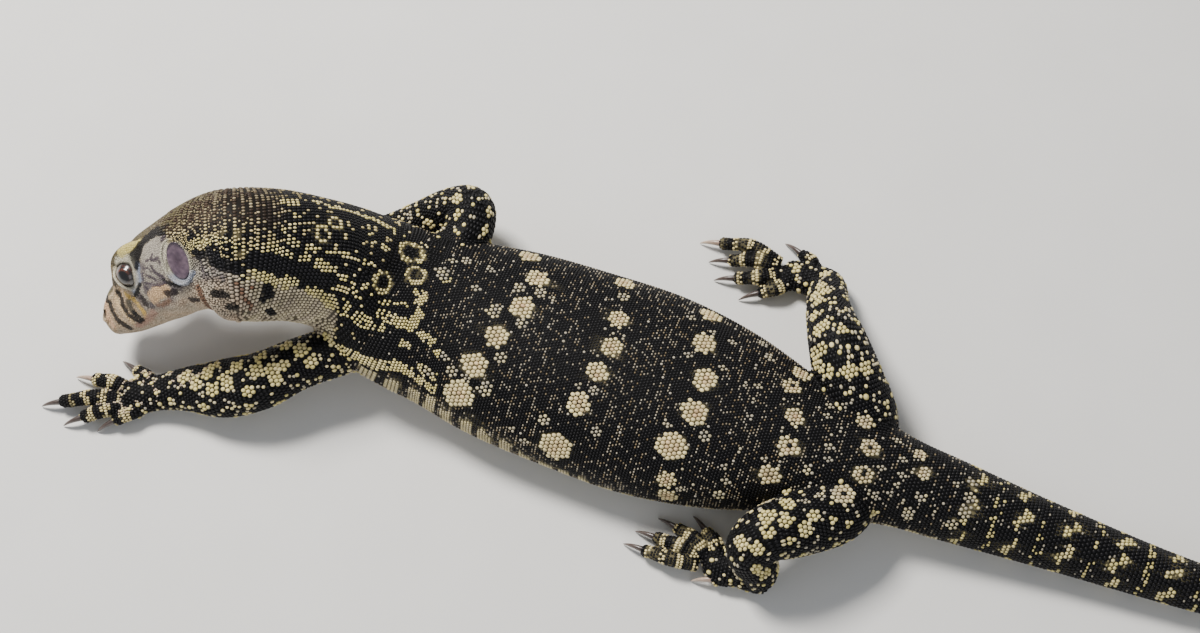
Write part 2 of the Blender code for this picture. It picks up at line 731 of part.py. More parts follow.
def islands(mesh):
    """The loose closed surfaces of a mesh, as lists of faces."""
    left = set(mesh.faces)
    found = []
    while left:
        queue = [left.pop()]
        piece = set(queue)
        while queue:
            face = queue.pop()
            for edge in face.edges:
                for other in edge.link_faces:
                    if other in left:
                        left.remove(other)
                        piece.add(other)
                        queue.append(other)
        found.append(piece)
    return found


def holds(mesh, point):
    """Whether a closed mesh has a point inside it, by counting crossings."""
    tree = BVHTree.FromBMesh(mesh)
    direction = Vector((0.31, 0.17, 0.93)).normalized()
    start = Vector(point) * MM
    count = 0
    while True:
        place, _, _, _ = tree.ray_cast(start, direction)
        if place is None:
            return count % 2 == 1
        count += 1
        start = place + direction * 1e-6


def part_flesh(item, seeds, group, material):
    """Split the parted flesh into named nodes and drop loose scraps."""
    whole = bmesh.new()
    whole.from_mesh(item.data)
    for piece in islands(whole):
        if len(piece) < 12:
            continue
        mesh = whole.copy()
        mesh.faces.index_update()
        whole.faces.index_update()
        keep = {face.index for face in piece}
        drop = [face for face in mesh.faces if face.index not in keep]
        bmesh.ops.delete(mesh, geom=drop, context="FACES")
        for name, seed in seeds.items():
            if holds(mesh, seed):
                finish_node(name, mesh, group, material)
                break
        else:
            mesh.free()
    whole.free()
    bpy.data.objects.remove(item)


def finish_node(name, mesh, group, material):
    """A named node with its material, shaded smooth but for sharp edges."""
    bmesh.ops.remove_doubles(mesh, verts=mesh.verts, dist=MERGE * MM)
    bmesh.ops.dissolve_degenerate(mesh, edges=mesh.edges, dist=MERGE * MM)
    bmesh.ops.triangulate(mesh, faces=mesh.faces)
    item = add_object(name, mesh, group)
    item.data.materials.append(material)
    item.data.shade_smooth()
    item.data.set_sharp_from_angle(angle=math.radians(50))
    return item


def add_eyes(group, materials):
    """Eyeballs in their sockets and the eardrums deep in their cups."""
    for side, tag in ((1, "l"), (-1, "r")):
        place = head_point(EYE[0], EYE[1] * side, EYE[2])
        matrix = head_matrix(place, side_direction(side), -HEAD_FORWARD)
        eye = ball("eye_" + tag, group, matrix, (EYE_RADIUS,) * 3, 8, 12)
        ear = ear_matrix(side, head_point(EAR[0], (EAR[1] - 1.2) * side, EAR[2]))
        drum = ball("eardrum_" + tag, group, ear, EARDRUM_HALF, 6, 12)
        for item, name in ((eye, "eye"), (drum, "eardrum")):
            item.data.materials.append(materials[name])
            item.data.shade_smooth()


def add_claws(group, materials):
    for limb in LIMBS:
        for index in range(len(DIGITS[limb])):
            item = claw(limb, index, group)
            place = "hand" if limb.startswith("arm") else "foot"
            item.name = "claw_%s_%s_%d" % (place, limb[-1], index + 1)
            item.data.materials.append(materials["claw"])
            item.data.shade_smooth()


def main():
    clear_scene()
    model = new_collection("water_monitor")
    cutters = new_collection("cutters")
    materials = make_materials()
    seeds = part_seeds()

    forms = new_collection("head_forms")
    spine_loft(0.0, NAPE + 4.0, forms, "skull")
    head_pieces(forms)
    head = fuse(join_all(forms, "head_flesh"), HEAD_VOXEL, 5, HEAD_RATIO, forms)
    head_cutters(cutters)
    spine_disc(NAPE, NAPE_RADIUS, cutters)
    head = cut_all(head, cutters, forms)
    part_flesh(head, {"head": seeds.pop("head")}, model, materials["skin"])

    limbs = new_collection("body_forms")
    body_pieces(limbs, NAPE - 4.0)
    body = fuse(join_all(limbs, "body_flesh"), BODY_VOXEL, 5, BODY_RATIO, limbs)
    floor_cutter(cutters)
    body_partings(cutters)
    claw_sockets(cutters)
    body = cut_all(body, cutters, limbs)
    part_flesh(body, seeds, model, materials["skin"])

    add_eyes(model, materials)
    add_claws(model, materials)
    for group in (forms, limbs, cutters):
        bpy.data.collections.remove(group)


main()
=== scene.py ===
"""Looks of the water monitor: skin, scales, eyes, ears, claws, floor, light.

Lengths are in millimetres, in the same frame as the solids, and are made into
metres where a mesh is built. The spine's sections are the ones the solids are
made from, so that the skin lies just inside them and the scales reach them.
Only the snout is blunter here than in the solids.
"""
import json
import math

import bmesh
import bpy
import numpy as np
from mathutils import Matrix, Vector
from mathutils.bvhtree import BVHTree
from mathutils.kdtree import KDTree

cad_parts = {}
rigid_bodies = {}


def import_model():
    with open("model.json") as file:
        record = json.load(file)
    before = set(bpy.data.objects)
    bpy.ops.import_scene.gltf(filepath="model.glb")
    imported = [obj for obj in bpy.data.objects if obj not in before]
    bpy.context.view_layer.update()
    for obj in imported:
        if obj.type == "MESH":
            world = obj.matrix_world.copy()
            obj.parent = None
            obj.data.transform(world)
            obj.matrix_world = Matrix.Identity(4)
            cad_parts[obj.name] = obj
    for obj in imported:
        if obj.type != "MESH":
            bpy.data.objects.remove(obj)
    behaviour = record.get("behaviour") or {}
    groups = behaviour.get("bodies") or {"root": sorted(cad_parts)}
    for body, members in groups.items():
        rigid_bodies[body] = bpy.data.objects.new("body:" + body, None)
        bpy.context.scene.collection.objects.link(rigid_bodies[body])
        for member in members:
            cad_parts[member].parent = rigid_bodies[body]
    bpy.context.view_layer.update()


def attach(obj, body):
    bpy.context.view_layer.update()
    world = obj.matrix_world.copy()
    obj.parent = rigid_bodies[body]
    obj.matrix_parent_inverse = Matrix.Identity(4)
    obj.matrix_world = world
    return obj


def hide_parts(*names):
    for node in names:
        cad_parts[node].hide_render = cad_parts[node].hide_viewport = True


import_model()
MM = 0.001
SEED = 7
CHUNK = 2000              # points worked on at a time, to save memory

# The animal's sizes, as in the solids
HEAD_LENGTH = 43.0        # snout tip to the middle of the ear
TRUNK_HALF_WIDTH = 27.8
TAIL_LENGTH = 362.0       # behind the vent
EYE_RADIUS = 3.6
DIGIT_RADIUS = 2.0
DIGIT_GIRTHS = (1.15, 1.05, 0.92, 1.0)   # root, knuckle, middle and tip
CLAW_LENGTH = 5.2
CLAW_RADIUS = 1.15
SNOUT_TIP = np.array((-136.5, -30.2, 9.0))
HEAD_FORWARD = np.array((-0.586, -0.465, -0.664))
HEAD_UP = np.array((-0.801, 0.456, 0.388))
HEAD_ROLL = -58.8         # degrees about the spine, from upright
HEAD_POWER = 2.35         # how square the sections are; 2 is an ellipse
BODY_POWER = 2.1
KEEL_POWER = 0.45         # how much sharper the tail becomes
# Head sections: distance behind the snout tip, half width, crown above and
# chin below the line of the mouth, all as shares of the head's length
HEAD_SECTIONS = (
    (0.000, 0.014, 0.026, 0.010),
    (0.033, 0.077, 0.084, 0.060),
    (0.105, 0.119, 0.133, 0.095),
    (0.210, 0.149, 0.174, 0.137),
    (0.350, 0.181, 0.222, 0.170),
    (0.475, 0.214, 0.304, 0.196),
    (0.580, 0.243, 0.342, 0.222),
    (0.745, 0.282, 0.348, 0.256),
    (0.905, 0.305, 0.342, 0.330),
)
# Neck and trunk: centre x, y, z, half width, back above and belly below the
# centre, and roll in degrees
NECK_SECTIONS = (
    (-107.0, -8.7, 38.6, 13.4, 15.8, 18.0, -54.0),
    (-98.5, -5.0, 35.6, 13.8, 16.8, 18.4, -46.0),
    (-90.0, -1.7, 30.2, 15.0, 17.0, 16.8, -36.0),
    (-82.0, 0.8, 23.8, 17.4, 16.6, 15.6, -22.0),
    (-74.0, 0.8, 18.2, 20.2, 15.8, 15.2, -10.0),
    (-63.0, -0.4, 14.8, 22.0, 15.8, 14.8, -3.0),
)
# Trunk: centre x and z, half width as a share of the widest, back and belly
TRUNK_SECTIONS = (
    (-51.0, 13.2, 0.855, 15.8, 14.2),
    (-38.0, 12.5, 0.940, 16.2, 13.8),
    (-16.0, 12.0, 0.995, 16.9, 13.5),
    (6.0, 11.9, 1.000, 17.0, 13.4),
    (26.0, 11.8, 0.885, 16.0, 13.2),
    (46.0, 11.4, 0.665, 14.2, 12.6),
    (60.0, 11.0, 0.545, 12.8, 11.9),
)
VENT_X = 74.0
# Tail: share of its length, sideways place, half width and half height
TAIL_SECTIONS = (
    (0.000, 0.0, 11.9, 11.4),
    (0.035, 0.0, 10.9, 10.6),
    (0.100, 0.0, 9.0, 9.2),
    (0.220, 0.3, 6.4, 7.6),
    (0.350, 4.0, 5.1, 6.3),
    (0.480, 14.0, 4.1, 5.1),
    (0.610, 27.0, 3.2, 4.0),
    (0.740, 37.0, 2.4, 3.1),
    (0.860, 41.0, 1.7, 2.2),
    (0.960, 39.0, 1.0, 1.3),
    (1.000, 37.5, 0.5, 0.6),
)
TAIL_SINK = 0.93          # how much of the half height is above the floor
# Limbs: joints from the root to the end of the hand or foot, each with its
# half width and half height
LIMBS = {
    "arm_l": (
        ((-66.0, -8.0, 15.0), 7.0, 7.0),
        ((-75.6, -17.2, 14.8), 6.8, 6.8),
        ((-85.0, -24.6, 14.0), 6.8, 6.6),
        ((-93.0, -31.6, 11.6), 7.6, 7.0),
        ((-101.5, -35.8, 8.8), 7.8, 6.6),
        ((-111.0, -38.6, 6.4), 6.0, 5.0),
        ((-118.0, -41.6, 4.8), 4.8, 3.9),
        ((-124.5, -44.8, 3.7), 4.8, 3.2),
        ((-128.0, -46.8, 3.2), 3.4, 2.5),
    ),
    "arm_r": (
        ((-62.0, 6.0, 15.0), 7.0, 7.0),
        ((-59.0, 15.5, 15.5), 6.8, 6.8),
        ((-55.8, 24.6, 16.8), 6.7, 6.6),
        ((-57.4, 30.4, 16.2), 6.8, 6.8),
        ((-63.5, 30.6, 11.8), 6.0, 6.2),
        ((-71.0, 27.4, 7.2), 4.9, 4.6),
        ((-78.0, 22.8, 4.6), 4.4, 3.5),
        ((-84.6, 18.8, 3.7), 4.2, 3.0),
        ((-88.0, 17.4, 3.2), 3.3, 2.4),
    ),
    "leg_l": (
        ((62.0, -2.0, 11.5), 9.0, 9.0),
        ((60.0, -12.5, 13.0), 9.2, 9.2),
        ((52.5, -21.0, 16.2), 8.4, 8.8),
        ((45.0, -27.6, 18.0), 7.4, 7.8),
        ((42.6, -31.2, 14.6), 6.6, 7.0),
        ((45.4, -33.4, 8.8), 5.6, 6.0),
        ((46.4, -34.4, 4.9), 5.0, 4.8),
        ((38.5, -35.0, 3.9), 4.3, 3.4),
        ((31.5, -35.6, 3.3), 4.2, 2.8),
    ),
    "leg_r": (
        ((62.0, 2.0, 11.5), 9.0, 9.0),
        ((59.0, 11.0, 13.4), 9.6, 9.6),
        ((52.5, 19.0, 17.6), 9.2, 9.4),
        ((47.0, 26.5, 19.6), 8.0, 8.4),
        ((42.8, 34.0, 15.4), 6.6, 7.2),
        ((39.8, 42.0, 9.0), 5.6, 6.0),
        ((38.2, 47.0, 5.0), 5.0, 4.8),
        ((31.0, 47.6, 3.9), 4.3, 3.4),
        ((25.0, 47.6, 3.3), 4.2, 2.8),
    ),
}
# Digits: root, knuckle and tip
DIGITS = {
    "arm_l": (
        ((-120.0, -41.5, 3.4), (-124.0, -38.8, 4.4), (-127.8, -37.6, 2.8)),
        ((-124.5, -44.2, 3.2), (-131.6, -43.4, 4.8), (-137.4, -44.0, 2.8)),
        ((-126.0, -46.5, 3.2), (-135.5, -49.4, 4.6), (-143.2, -53.0, 2.6)),
        ((-125.5, -47.6, 3.2), (-131.0, -51.6, 4.4), (-136.0, -55.2, 2.6)),
        ((-121.5, -47.0, 3.2), (-124.6, -50.2, 4.0), (-127.4, -53.0, 2.6)),
    ),
    "arm_r": (
        ((-82.4, 18.4, 3.0), (-86.0, 14.6, 3.6), (-89.0, 11.6, 2.6)),
        ((-85.5, 16.6, 3.2), (-91.0, 13.6, 4.2), (-96.0, 11.4, 2.6)),
        ((-87.0, 17.4, 3.2), (-94.5, 16.4, 4.6), (-101.8, 14.8, 2.6)),
        ((-86.5, 18.8, 3.2), (-93.0, 19.6, 4.4), (-99.4, 19.4, 2.6)),
        ((-82.6, 20.2, 3.2), (-86.6, 22.8, 4.0), (-90.8, 24.0, 2.6)),
    ),
    "leg_l": (
        ((35.5, -33.0, 3.2), (32.6, -29.4, 4.0), (29.2, -27.0, 2.6)),
        ((32.0, -33.6, 3.2), (27.0, -30.6, 4.4), (21.6, -29.2, 2.6)),
        ((30.5, -35.0, 3.2), (24.0, -34.0, 4.6), (17.2, -33.6, 2.6)),
        ((31.0, -36.6, 3.2), (22.5, -38.2, 4.6), (15.4, -37.8, 2.6)),
        ((43.0, -35.4, 3.2), (39.4, -38.0, 3.6), (35.0, -39.4, 2.6)),
    ),
    "leg_r": (
        ((28.5, 45.6, 3.2), (25.0, 41.8, 4.0), (21.0, 39.4, 2.6)),
        ((25.5, 46.2, 3.2), (19.5, 43.2, 4.4), (13.4, 41.4, 2.6)),
        ((24.5, 47.6, 3.2), (17.0, 47.6, 4.8), (10.4, 45.8, 2.6)),
        ((24.5, 49.4, 3.2), (14.5, 51.2, 4.8), (6.4, 49.8, 2.6)),
        ((34.5, 50.2, 3.2), (31.6, 53.2, 4.0), (28.0, 54.8, 2.6)),
    ),
}
# Places on the head: how far behind the snout tip, to its left and up
HEAD_MIDDLE = (26.0, 0.0, 0.0)
EYE = (23.6, 8.1, 8.2)
LID = (23.7, 10.7, 8.4)
LID_THICKNESS = 0.75
# The lids' rim and the fold round it: how much wider than the opening, and
# how high over the eyeball
LID_RIM = (1.16, 0.42)
LID_FOLD = (1.42, 0.95)
LID_RIM_RADIUS = 0.42
SOCKET_GAP = 0.06
BROW = (26.0, 5.8, 9.8)
BROW_HALF = (6.8, 5.1, 5.1)
CHEEK_PLACE = (34.0, 9.5, -2.0)
CHEEK_HALF = (8.5, 6.5, 3.4)
# The edge between the top and the side of the snout: places and half thickness
CANTHUS = (
    (4.5, 3.0, 4.0, 1.3),
    (9.0, 4.2, 4.6, 1.4),
    (13.5, 5.0, 5.4, 1.6),
    (18.0, 6.4, 8.8, 1.9),
    (23.0, 7.4, 12.8, 1.9),
    (28.5, 7.4, 13.2, 1.6),
    (34.0, 6.8, 10.8, 0.9),
)
EAR = (42.7, 13.4, 3.4)
NOSTRIL = (5.2, 4.3, 3.6)
NOSE_HALF = (3.2, 2.0, 0.6)
NOSTRIL_HALF = (1.0, 0.6, 1.3)
EAR_HALF = (3.4, 5.6, 3.1)
EAR_RIM = (3.9, 6.0)
EAR_RIM_RADIUS = 0.55
EAR_LEAN = 0.45
EARDRUM_HALF = (2.95, 5.0, 0.5)
# The eye's opening between the lids, as seen along the eye's own axis:
# rearward and upward shares of the eyeball's radius
LID_OUTLINE = (
    (-0.54, 0.77), (0.08, 0.88), (0.54, 0.70), (0.84, 0.37), (0.86, -0.07),
    (0.66, -0.52), (0.34, -0.84), (-0.04, -0.93), (-0.36, -0.80), (-0.38, -0.42),
    (-0.45, 0.06), (-0.56, 0.48),
)
LIP_ANGLE = 24.0
LIP_GROOVE = 0.22
# Folds of the throat: place, the angle where they end, radius
THROAT_FOLDS = ((44.0, 22.0, 2.8), (49.0, 34.0, 1.2))

# The snout's tip is pressed back and its top lifted, to be blunter
SNOUT_REACH = 20.0        # of the change, from the tip
SNOUT_BACK = 8.0          # and behind it
SNOUT_FLAT = 1.6          # where the blunt tip lies
SNOUT_SOFTNESS = 0.9
SNOUT_LIFT = 0.8
SNOUT_DROP = 0.55         # at the tip itself

# The head's finer skin ends over the nape
NAPE_END = 54.0           # behind the snout tip
NAPE_FADE = 8.0
HEAD_REACH = 46.0         # from the head's middle

# The skin's fineness and its depth under the scales
SPINE_SIDES = 96
SPINE_STEP = 0.6
LIMB_SIDES = 40
DIGIT_SIDES = 24
VOXEL = 0.30
BODY_SHARE = 104000      # triangles wanted behind the head
HEAD_SHARE = 78000       # and in it
SKIN_DEPTH = 0.28
HEAD_DEPTH = 0.14
SKIN_FLOOR = 0.12         # the lowest that the skin, the scales and the
SCALE_FLOOR = 0.02        # claws reach above the floor
CLAW_FLOOR = 0.03

# Scales: their spacing across and along the rows at places on the spine
PITCH_PLACES = (36.0, 50.0, 66.0, 84.0, 100.0, 205.0, 240.0, 300.0, 480.0, 590.0)
PITCH_ACROSS = (0.84, 0.94, 1.00, 1.04, 0.84, 0.84, 1.0, 1.2, 1.1, 0.7)
PITCH_ALONG = (0.90, 0.98, 1.03, 1.06, 0.88, 0.88, 1.05, 1.2, 1.1, 0.72)
BELLY_WIDER = 0.55        # how much wider they are underneath
LIMB_PITCH = (1.04, 1.08)
DIGIT_PITCH = (0.82, 0.92)
ROW_STEP = 0.9            # from row to row, in spacings
RING_POINTS = 240
COAT_START = 38.0         # where the rows start behind the snout
EAR_CLEAR = 7.2
HEAD_TRIES = 150000       # random places tried for the head's scales
FILL_TRIES = 70000        # and for the patches that the rows leave bare
LIMB_TRIES = 420          # and for pale beads on each limb, of these widths
LIMB_WIDTHS = (1.2, 1.3, 1.5, 2.4, 2.9)
# How near two scales may stand, in the mean of their spacings
SPOT_ROOM = 0.70
ROW_ROOM = 0.78
HEAD_ROOM = 0.86
FILL_ROOM = 0.82
ROUND_FROM = 1.08         # a scale as wide as this has eight sides, not six
SCALE_SINK = 0.10         # depth of its lower edge under the skin
MAP_PATCH = 0.0014        # radius of its patch in the bake map
PIECE_SCALES = 6500       # the most in one mesh
BARE_DRAW = 0.935         # the draw that paints the skin between the scales

# The camera, in degrees and metres
CAMERA_AZIMUTH = 20.0
CAMERA_ELEVATION = 70.0
CAMERA_DISTANCE = 0.650
CAMERA_TARGET = (-0.016707, 0.019849, 0.0)
CAMERA_LENS = 72.22


# Curves and sections


def unit(vectors):
    return vectors / np.linalg.norm(vectors, axis=-1, keepdims=True)


def smooth_between(places, values, at):
    """Hermite curve through rows of values at their places."""
    places = np.asarray(places, float)
    values = np.asarray(values, float)
    at = np.atleast_1d(np.asarray(at, float))
    slopes = np.gradient(values, places, axis=0)
    left = np.clip(np.searchsorted(places, at) - 1, 0, len(places) - 2)
    span = (places[left + 1] - places[left])[:, None]
    t = (at[:, None] - places[left][:, None]) / span
    return (
        (2 * t**3 - 3 * t**2 + 1) * values[left]
        + (t**3 - 2 * t**2 + t) * span * slopes[left]
        + (3 * t**2 - 2 * t**3) * values[left + 1]
        + (t**3 - t**2) * span * slopes[left + 1]
    )


def spine_rows():
    """Rows of centre, half width, top, bottom, roll and power."""
    rows = []
    for back, width, top, bottom in HEAD_SECTIONS:
        centre = SNOUT_TIP - HEAD_FORWARD * back * HEAD_LENGTH
        sizes = (width * HEAD_LENGTH, top * HEAD_LENGTH, bottom * HEAD_LENGTH)
        rows.append((*centre, *sizes, HEAD_ROLL, HEAD_POWER))
    for x, y, z, width, top, bottom, roll in NECK_SECTIONS:
        rows.append((x, y, z, width, top, bottom, roll, BODY_POWER))
    for x, z, share, top, bottom in TRUNK_SECTIONS:
        width = share * TRUNK_HALF_WIDTH
        rows.append((x, 0.0, z, width, top, bottom, 0.0, BODY_POWER))
    for share, side, width, height in TAIL_SECTIONS:
        keel = BODY_POWER - KEEL_POWER * min(1.0, share / 0.2)
        x = VENT_X + share * TAIL_LENGTH
        rows.append((x, side, height * TAIL_SINK, width, height, height, 0.0, keel))
    return np.array(rows)


class Way:
    """A curved part of the body: its sections at lengths along it."""

    def __init__(self, lengths, centre, along, left, up, width, top, bottom, power):
        self.lengths = lengths
        self.table = np.column_stack(
            (centre, along, left, up, width, top, bottom, power)
        )
        self.total = lengths[-1]

    def at(self, place):
        """Centre, direction, left, up, half width, top, bottom and power."""
        place = np.atleast_1d(place)
        row = np.stack(
            [np.interp(place, self.lengths, column) for column in self.table.T], 1
        )
        return (
            row[:, 0:3], unit(row[:, 3:6]), unit(row[:, 6:9]), unit(row[:, 9:12]),
            row[:, 12], row[:, 13], row[:, 14], row[:, 15],
        )

    def ring(self, place, count):
        """Points of the sections, from the back's midline round by the left."""
        centre, _, left, up, width, top, bottom, power = self.at(place)
        angle = 2 * np.pi * np.arange(count) / count
        share = 2 / power[:, None]
        across = np.sign(np.sin(angle)) * np.abs(np.sin(angle)) ** share
        rise = np.sign(np.cos(angle)) * np.abs(np.cos(angle)) ** share
        height = np.where(rise > 0, top[:, None], bottom[:, None])
        return (
            centre[:, None]
            + left[:, None] * (across * width[:, None])[..., None]
            + up[:, None] * (rise * height)[..., None]
        )


def spine_way():
    """Snout tip to tail tip."""
    rows = spine_rows()
    steps = np.linalg.norm(np.diff(rows[:, :3], axis=0), axis=1)
    lengths = np.concatenate(([0.0], np.cumsum(steps)))
    at = np.append(np.arange(0.0, lengths[-1], 0.25), lengths[-1])
    here = smooth_between(lengths, rows, at)
    before = smooth_between(lengths, rows, np.maximum(at - 0.5, 0.0))
    after = smooth_between(lengths, rows, np.minimum(at + 0.5, lengths[-1]))
    along = unit(after[:, :3] - before[:, :3])
    upright = unit(np.array((0.0, 0.0, 1.0)) - along * along[:, 2:3])
    level = np.cross(along, upright)
    roll = np.radians(here[:, 6])[:, None]
    up = upright * np.cos(roll) + level * np.sin(roll)
    left = np.cross(along, up)
    return Way(at, here[:, :3], along, left, up, *here[:, 3:6].T, here[:, 7])


def tube_way(points, sizes, step=0.4):
    """A limb or digit, with a round end."""
    points = np.asarray(points, float)
    sizes = np.asarray(sizes, float)
    gaps = np.linalg.norm(np.diff(points, axis=0), axis=1)
    lengths = np.concatenate(([0.0], np.cumsum(gaps)))
    total = lengths[-1]
    cap = min(sizes[-1].mean(), total / 3)
    caps = total - cap * (1 - np.sin(np.linspace(0, math.pi / 2, 8)))
    places = np.arange(0.0, total, step)
    at = np.unique(np.concatenate((places[places < total - cap], caps)))
    centre = smooth_between(lengths, points, at)
    ahead = smooth_between(lengths, points, np.minimum(at + 0.3, total))
    behind = smooth_between(lengths, points, np.maximum(at - 0.3, 0.0))
    along = unit(ahead - behind)
    steep = np.abs(along[:, 2:3]) >= 0.9
    lead = np.where(steep, np.array((1.0, 0.0, 0.0)), np.array((0.0, 0.0, 1.0)))
    up = unit(lead - along * (along * lead).sum(1, keepdims=True))
    left = np.cross(up, along)
    width, height = smooth_between(lengths, sizes, at).T
    past = np.clip((at - total + cap) / cap, 0.0, 1.0)
    shrink = np.sqrt(np.maximum(0.02, 1 - past**2))
    return Way(
        at, centre, along, left, up,
        width * shrink, height * shrink, height * shrink, np.full(len(at), 2.0),
    )


SPINE = spine_way()
ASIDE = np.cross(HEAD_UP, HEAD_FORWARD)


def limb_way(limb):
    joints = LIMBS[limb]
    return tube_way([joint[0] for joint in joints], [joint[1:] for joint in joints])


def digit_way(limb, index):
    root, knuckle, tip = (np.array(place) for place in DIGITS[limb][index])
    places = (root, knuckle, (knuckle + tip) / 2, tip)
    return tube_way(places, [(DIGIT_RADIUS * share,) * 2 for share in DIGIT_GIRTHS], 0.3)


def head_point(back, left, up):
    return SNOUT_TIP - HEAD_FORWARD * back + ASIDE * left + HEAD_UP * up


def side_direction(side, back=0.0, up=0.0):
    return unit(ASIDE * side - HEAD_FORWARD * back + HEAD_UP * up)


def head_frame(outward, lengthways):
    """Rows X, Y and Z of a frame on the head: Z outward, X lengthways."""
    z = unit(np.asarray(outward, float))
    y = unit(np.cross(z, lengthways))
    return np.array((np.cross(y, z), y, z))


def ear_frame(side):
    leaning = HEAD_UP - HEAD_FORWARD * EAR_LEAN
    across = np.cross(leaning, side_direction(side))
    return head_frame(side_direction(side, 0.12, 0.0), across)


def eye_frame(side):
    return head_frame(side_direction(side, -0.10, 0.22), -HEAD_FORWARD)


def eye_opening(side):
    return head_point(LID[0], LID[1] * side, LID[2])


def ear_opening(side, out=0.0):
    return head_point(EAR[0], (EAR[1] + out) * side, EAR[2])


def nostril_place(side, out=0.0, up=0.0):
    return head_point(NOSTRIL[0], (NOSTRIL[1] + out) * side, NOSTRIL[2] + up)


def section_point(back, angle, sink=0.0):
    """A point of the head's section, the angle in degrees from the left."""
    centre, _, left, up, width, top, bottom, power = (row[0] for row in SPINE.at(back))
    turn = math.radians(angle)
    across = math.copysign(abs(math.cos(turn)) ** (2 / power), math.cos(turn))
    rise = math.copysign(abs(math.sin(turn)) ** (2 / power), math.sin(turn))
    out = left * across * width + up * rise * (top if rise > 0 else bottom)
    return centre + out * (1 - sink / np.linalg.norm(out))


def lip_path():
    """The line of the mouth, from its left corner round to its right."""
    places = list(np.linspace(33.0, 2.0, 14))
    left = [section_point(back, -LIP_ANGLE) for back in places]
    right = [section_point(back, 180 + LIP_ANGLE) for back in reversed(places)]
    front = [section_point(0.7, angle) for angle in (-LIP_ANGLE, 180 + LIP_ANGLE)]
    return np.array(left + front + right)


# Closed forms as points and faces


def grid(points, closed=False):
    """Points in rows and the faces between them; the ends are capped, or the
    last row joins the first."""
    rows, count = points.shape[:2]
    step = np.arange(count)
    after = (step + 1) % count
    faces = []
    for row in range(rows if closed else rows - 1):
        near = row * count
        far = (row + 1) % rows * count
        faces += np.stack((near + step, near + after, far + after, far + step), 1).tolist()
    if not closed:
        faces.append(list(range(count))[::-1])
        faces.append(list(range((rows - 1) * count, rows * count)))
    return points.reshape(-1, 3), faces


def set_along(centre, axes, x, y, z):
    """Points from how far they lie along three axes."""
    return centre + x[..., None] * axes[0] + y[..., None] * axes[1] + z[..., None] * axes[2]


def blob(centre, axes, sizes, rings=24, count=40):
    """An ellipsoid along three axes."""
    turn = np.linspace(0.02, math.pi - 0.02, rings)[:, None]
    angle = 2 * np.pi * np.arange(count) / count
    x = np.sin(turn) * np.cos(angle) * sizes[0]
    y = np.sin(turn) * np.sin(angle) * sizes[1]
    z = np.cos(turn) * sizes[2] * np.ones_like(angle)
    return grid(set_along(centre, axes, x, y, z))


def hoop(centre, axes, half, thickness):
    """An oval ring."""
    around, about = 48, 12
    angle = (2 * np.pi * np.arange(around) / around)[:, None, None]
    turn = (2 * np.pi * np.arange(about) / about)[None, :, None]
    out = np.cos(angle) * axes[0] + np.sin(angle) * axes[1]
    middle = np.cos(angle) * axes[0] * half[0] + np.sin(angle) * axes[1] * half[1]
    rise = np.ones_like(angle) * axes[2]
    points = centre + middle + (out * np.cos(turn) + rise * np.sin(turn)) * thickness
    return grid(points, closed=True)


def ringed(path, radius):
    """A closed tube along a closed path."""
    about = 10
    along = unit(np.roll(path, -1, 0) - np.roll(path, 1, 0))
    out = unit(path - path.mean(0))
    out = unit(out - along * (out * along).sum(1, keepdims=True))
    side = np.cross(along, out)
    turn = 2 * np.pi * np.arange(about) / about
    points = (path[:, None] + out[:, None] * np.cos(turn)[None, :, None] * radius
              + side[:, None] * np.sin(turn)[None, :, None] * radius)
    return grid(points, closed=True)


def loft(way, count, places=None):
    places = way.lengths if places is None else places
    return grid(way.ring(places, count))


def joined(forms):
    """Several forms as one list of points and one of faces."""
    points = []
    faces = []
    base = 0
    for form_points, form_faces in forms:
        points.append(form_points)
        faces += [[base + corner for corner in face] for face in form_faces]
        base += len(form_points)
    return np.concatenate(points), faces


def make_object(name, points, faces):
    """A mesh object from millimetre points."""
    mesh = bpy.data.meshes.new(name)
    mesh.from_pydata((np.asarray(points) * MM).tolist(), [], faces)
    item = bpy.data.objects.new(name, mesh)
    bpy.context.scene.collection.objects.link(item)
    return item


def face_out(item):
    """Turn a closed mesh's faces outward."""
    mesh = bmesh.new()
    mesh.from_mesh(item.data)
    bmesh.ops.recalc_face_normals(mesh, faces=mesh.faces)
    mesh.to_mesh(item.data)
    mesh.free()
    return item


def applied(item):
    """Apply the item's modifiers to its own mesh."""
    graph = bpy.context.evaluated_depsgraph_get()
    made = bpy.data.meshes.new_from_object(item.evaluated_get(graph))
    old = item.data
    item.modifiers.clear()
    item.data = made
    made.name = item.name
    bpy.data.meshes.remove(old)
    return item


# The skin


def lid_directions(side, swell):
    """Directions from the eye's centre through the edge of its opening."""
    count = 48
    outline = np.array(LID_OUTLINE + LID_OUTLINE[:1])
    at = np.arange(count) * len(LID_OUTLINE) / count
    flat = np.stack([np.interp(at, np.arange(len(outline)), row) for row in outline.T], 1)
    for _ in range(2):
        flat = (np.roll(flat, 1, 0) + 2 * flat + np.roll(flat, -1, 0)) / 4
    middle = flat.mean(0)
    flat = middle + (flat - middle) * swell
    reach = np.minimum(np.linalg.norm(flat, axis=1, keepdims=True), 0.97)
    flat = unit(flat) * reach
    out = np.sqrt(1 - reach**2)
    axes = eye_frame(side)
    return flat[:, :1] * axes[0] + flat[:, 1:] * side * axes[1] + out * axes[2]


def eye_centre(side):
    return head_point(EYE[0], EYE[1] * side, EYE[2])


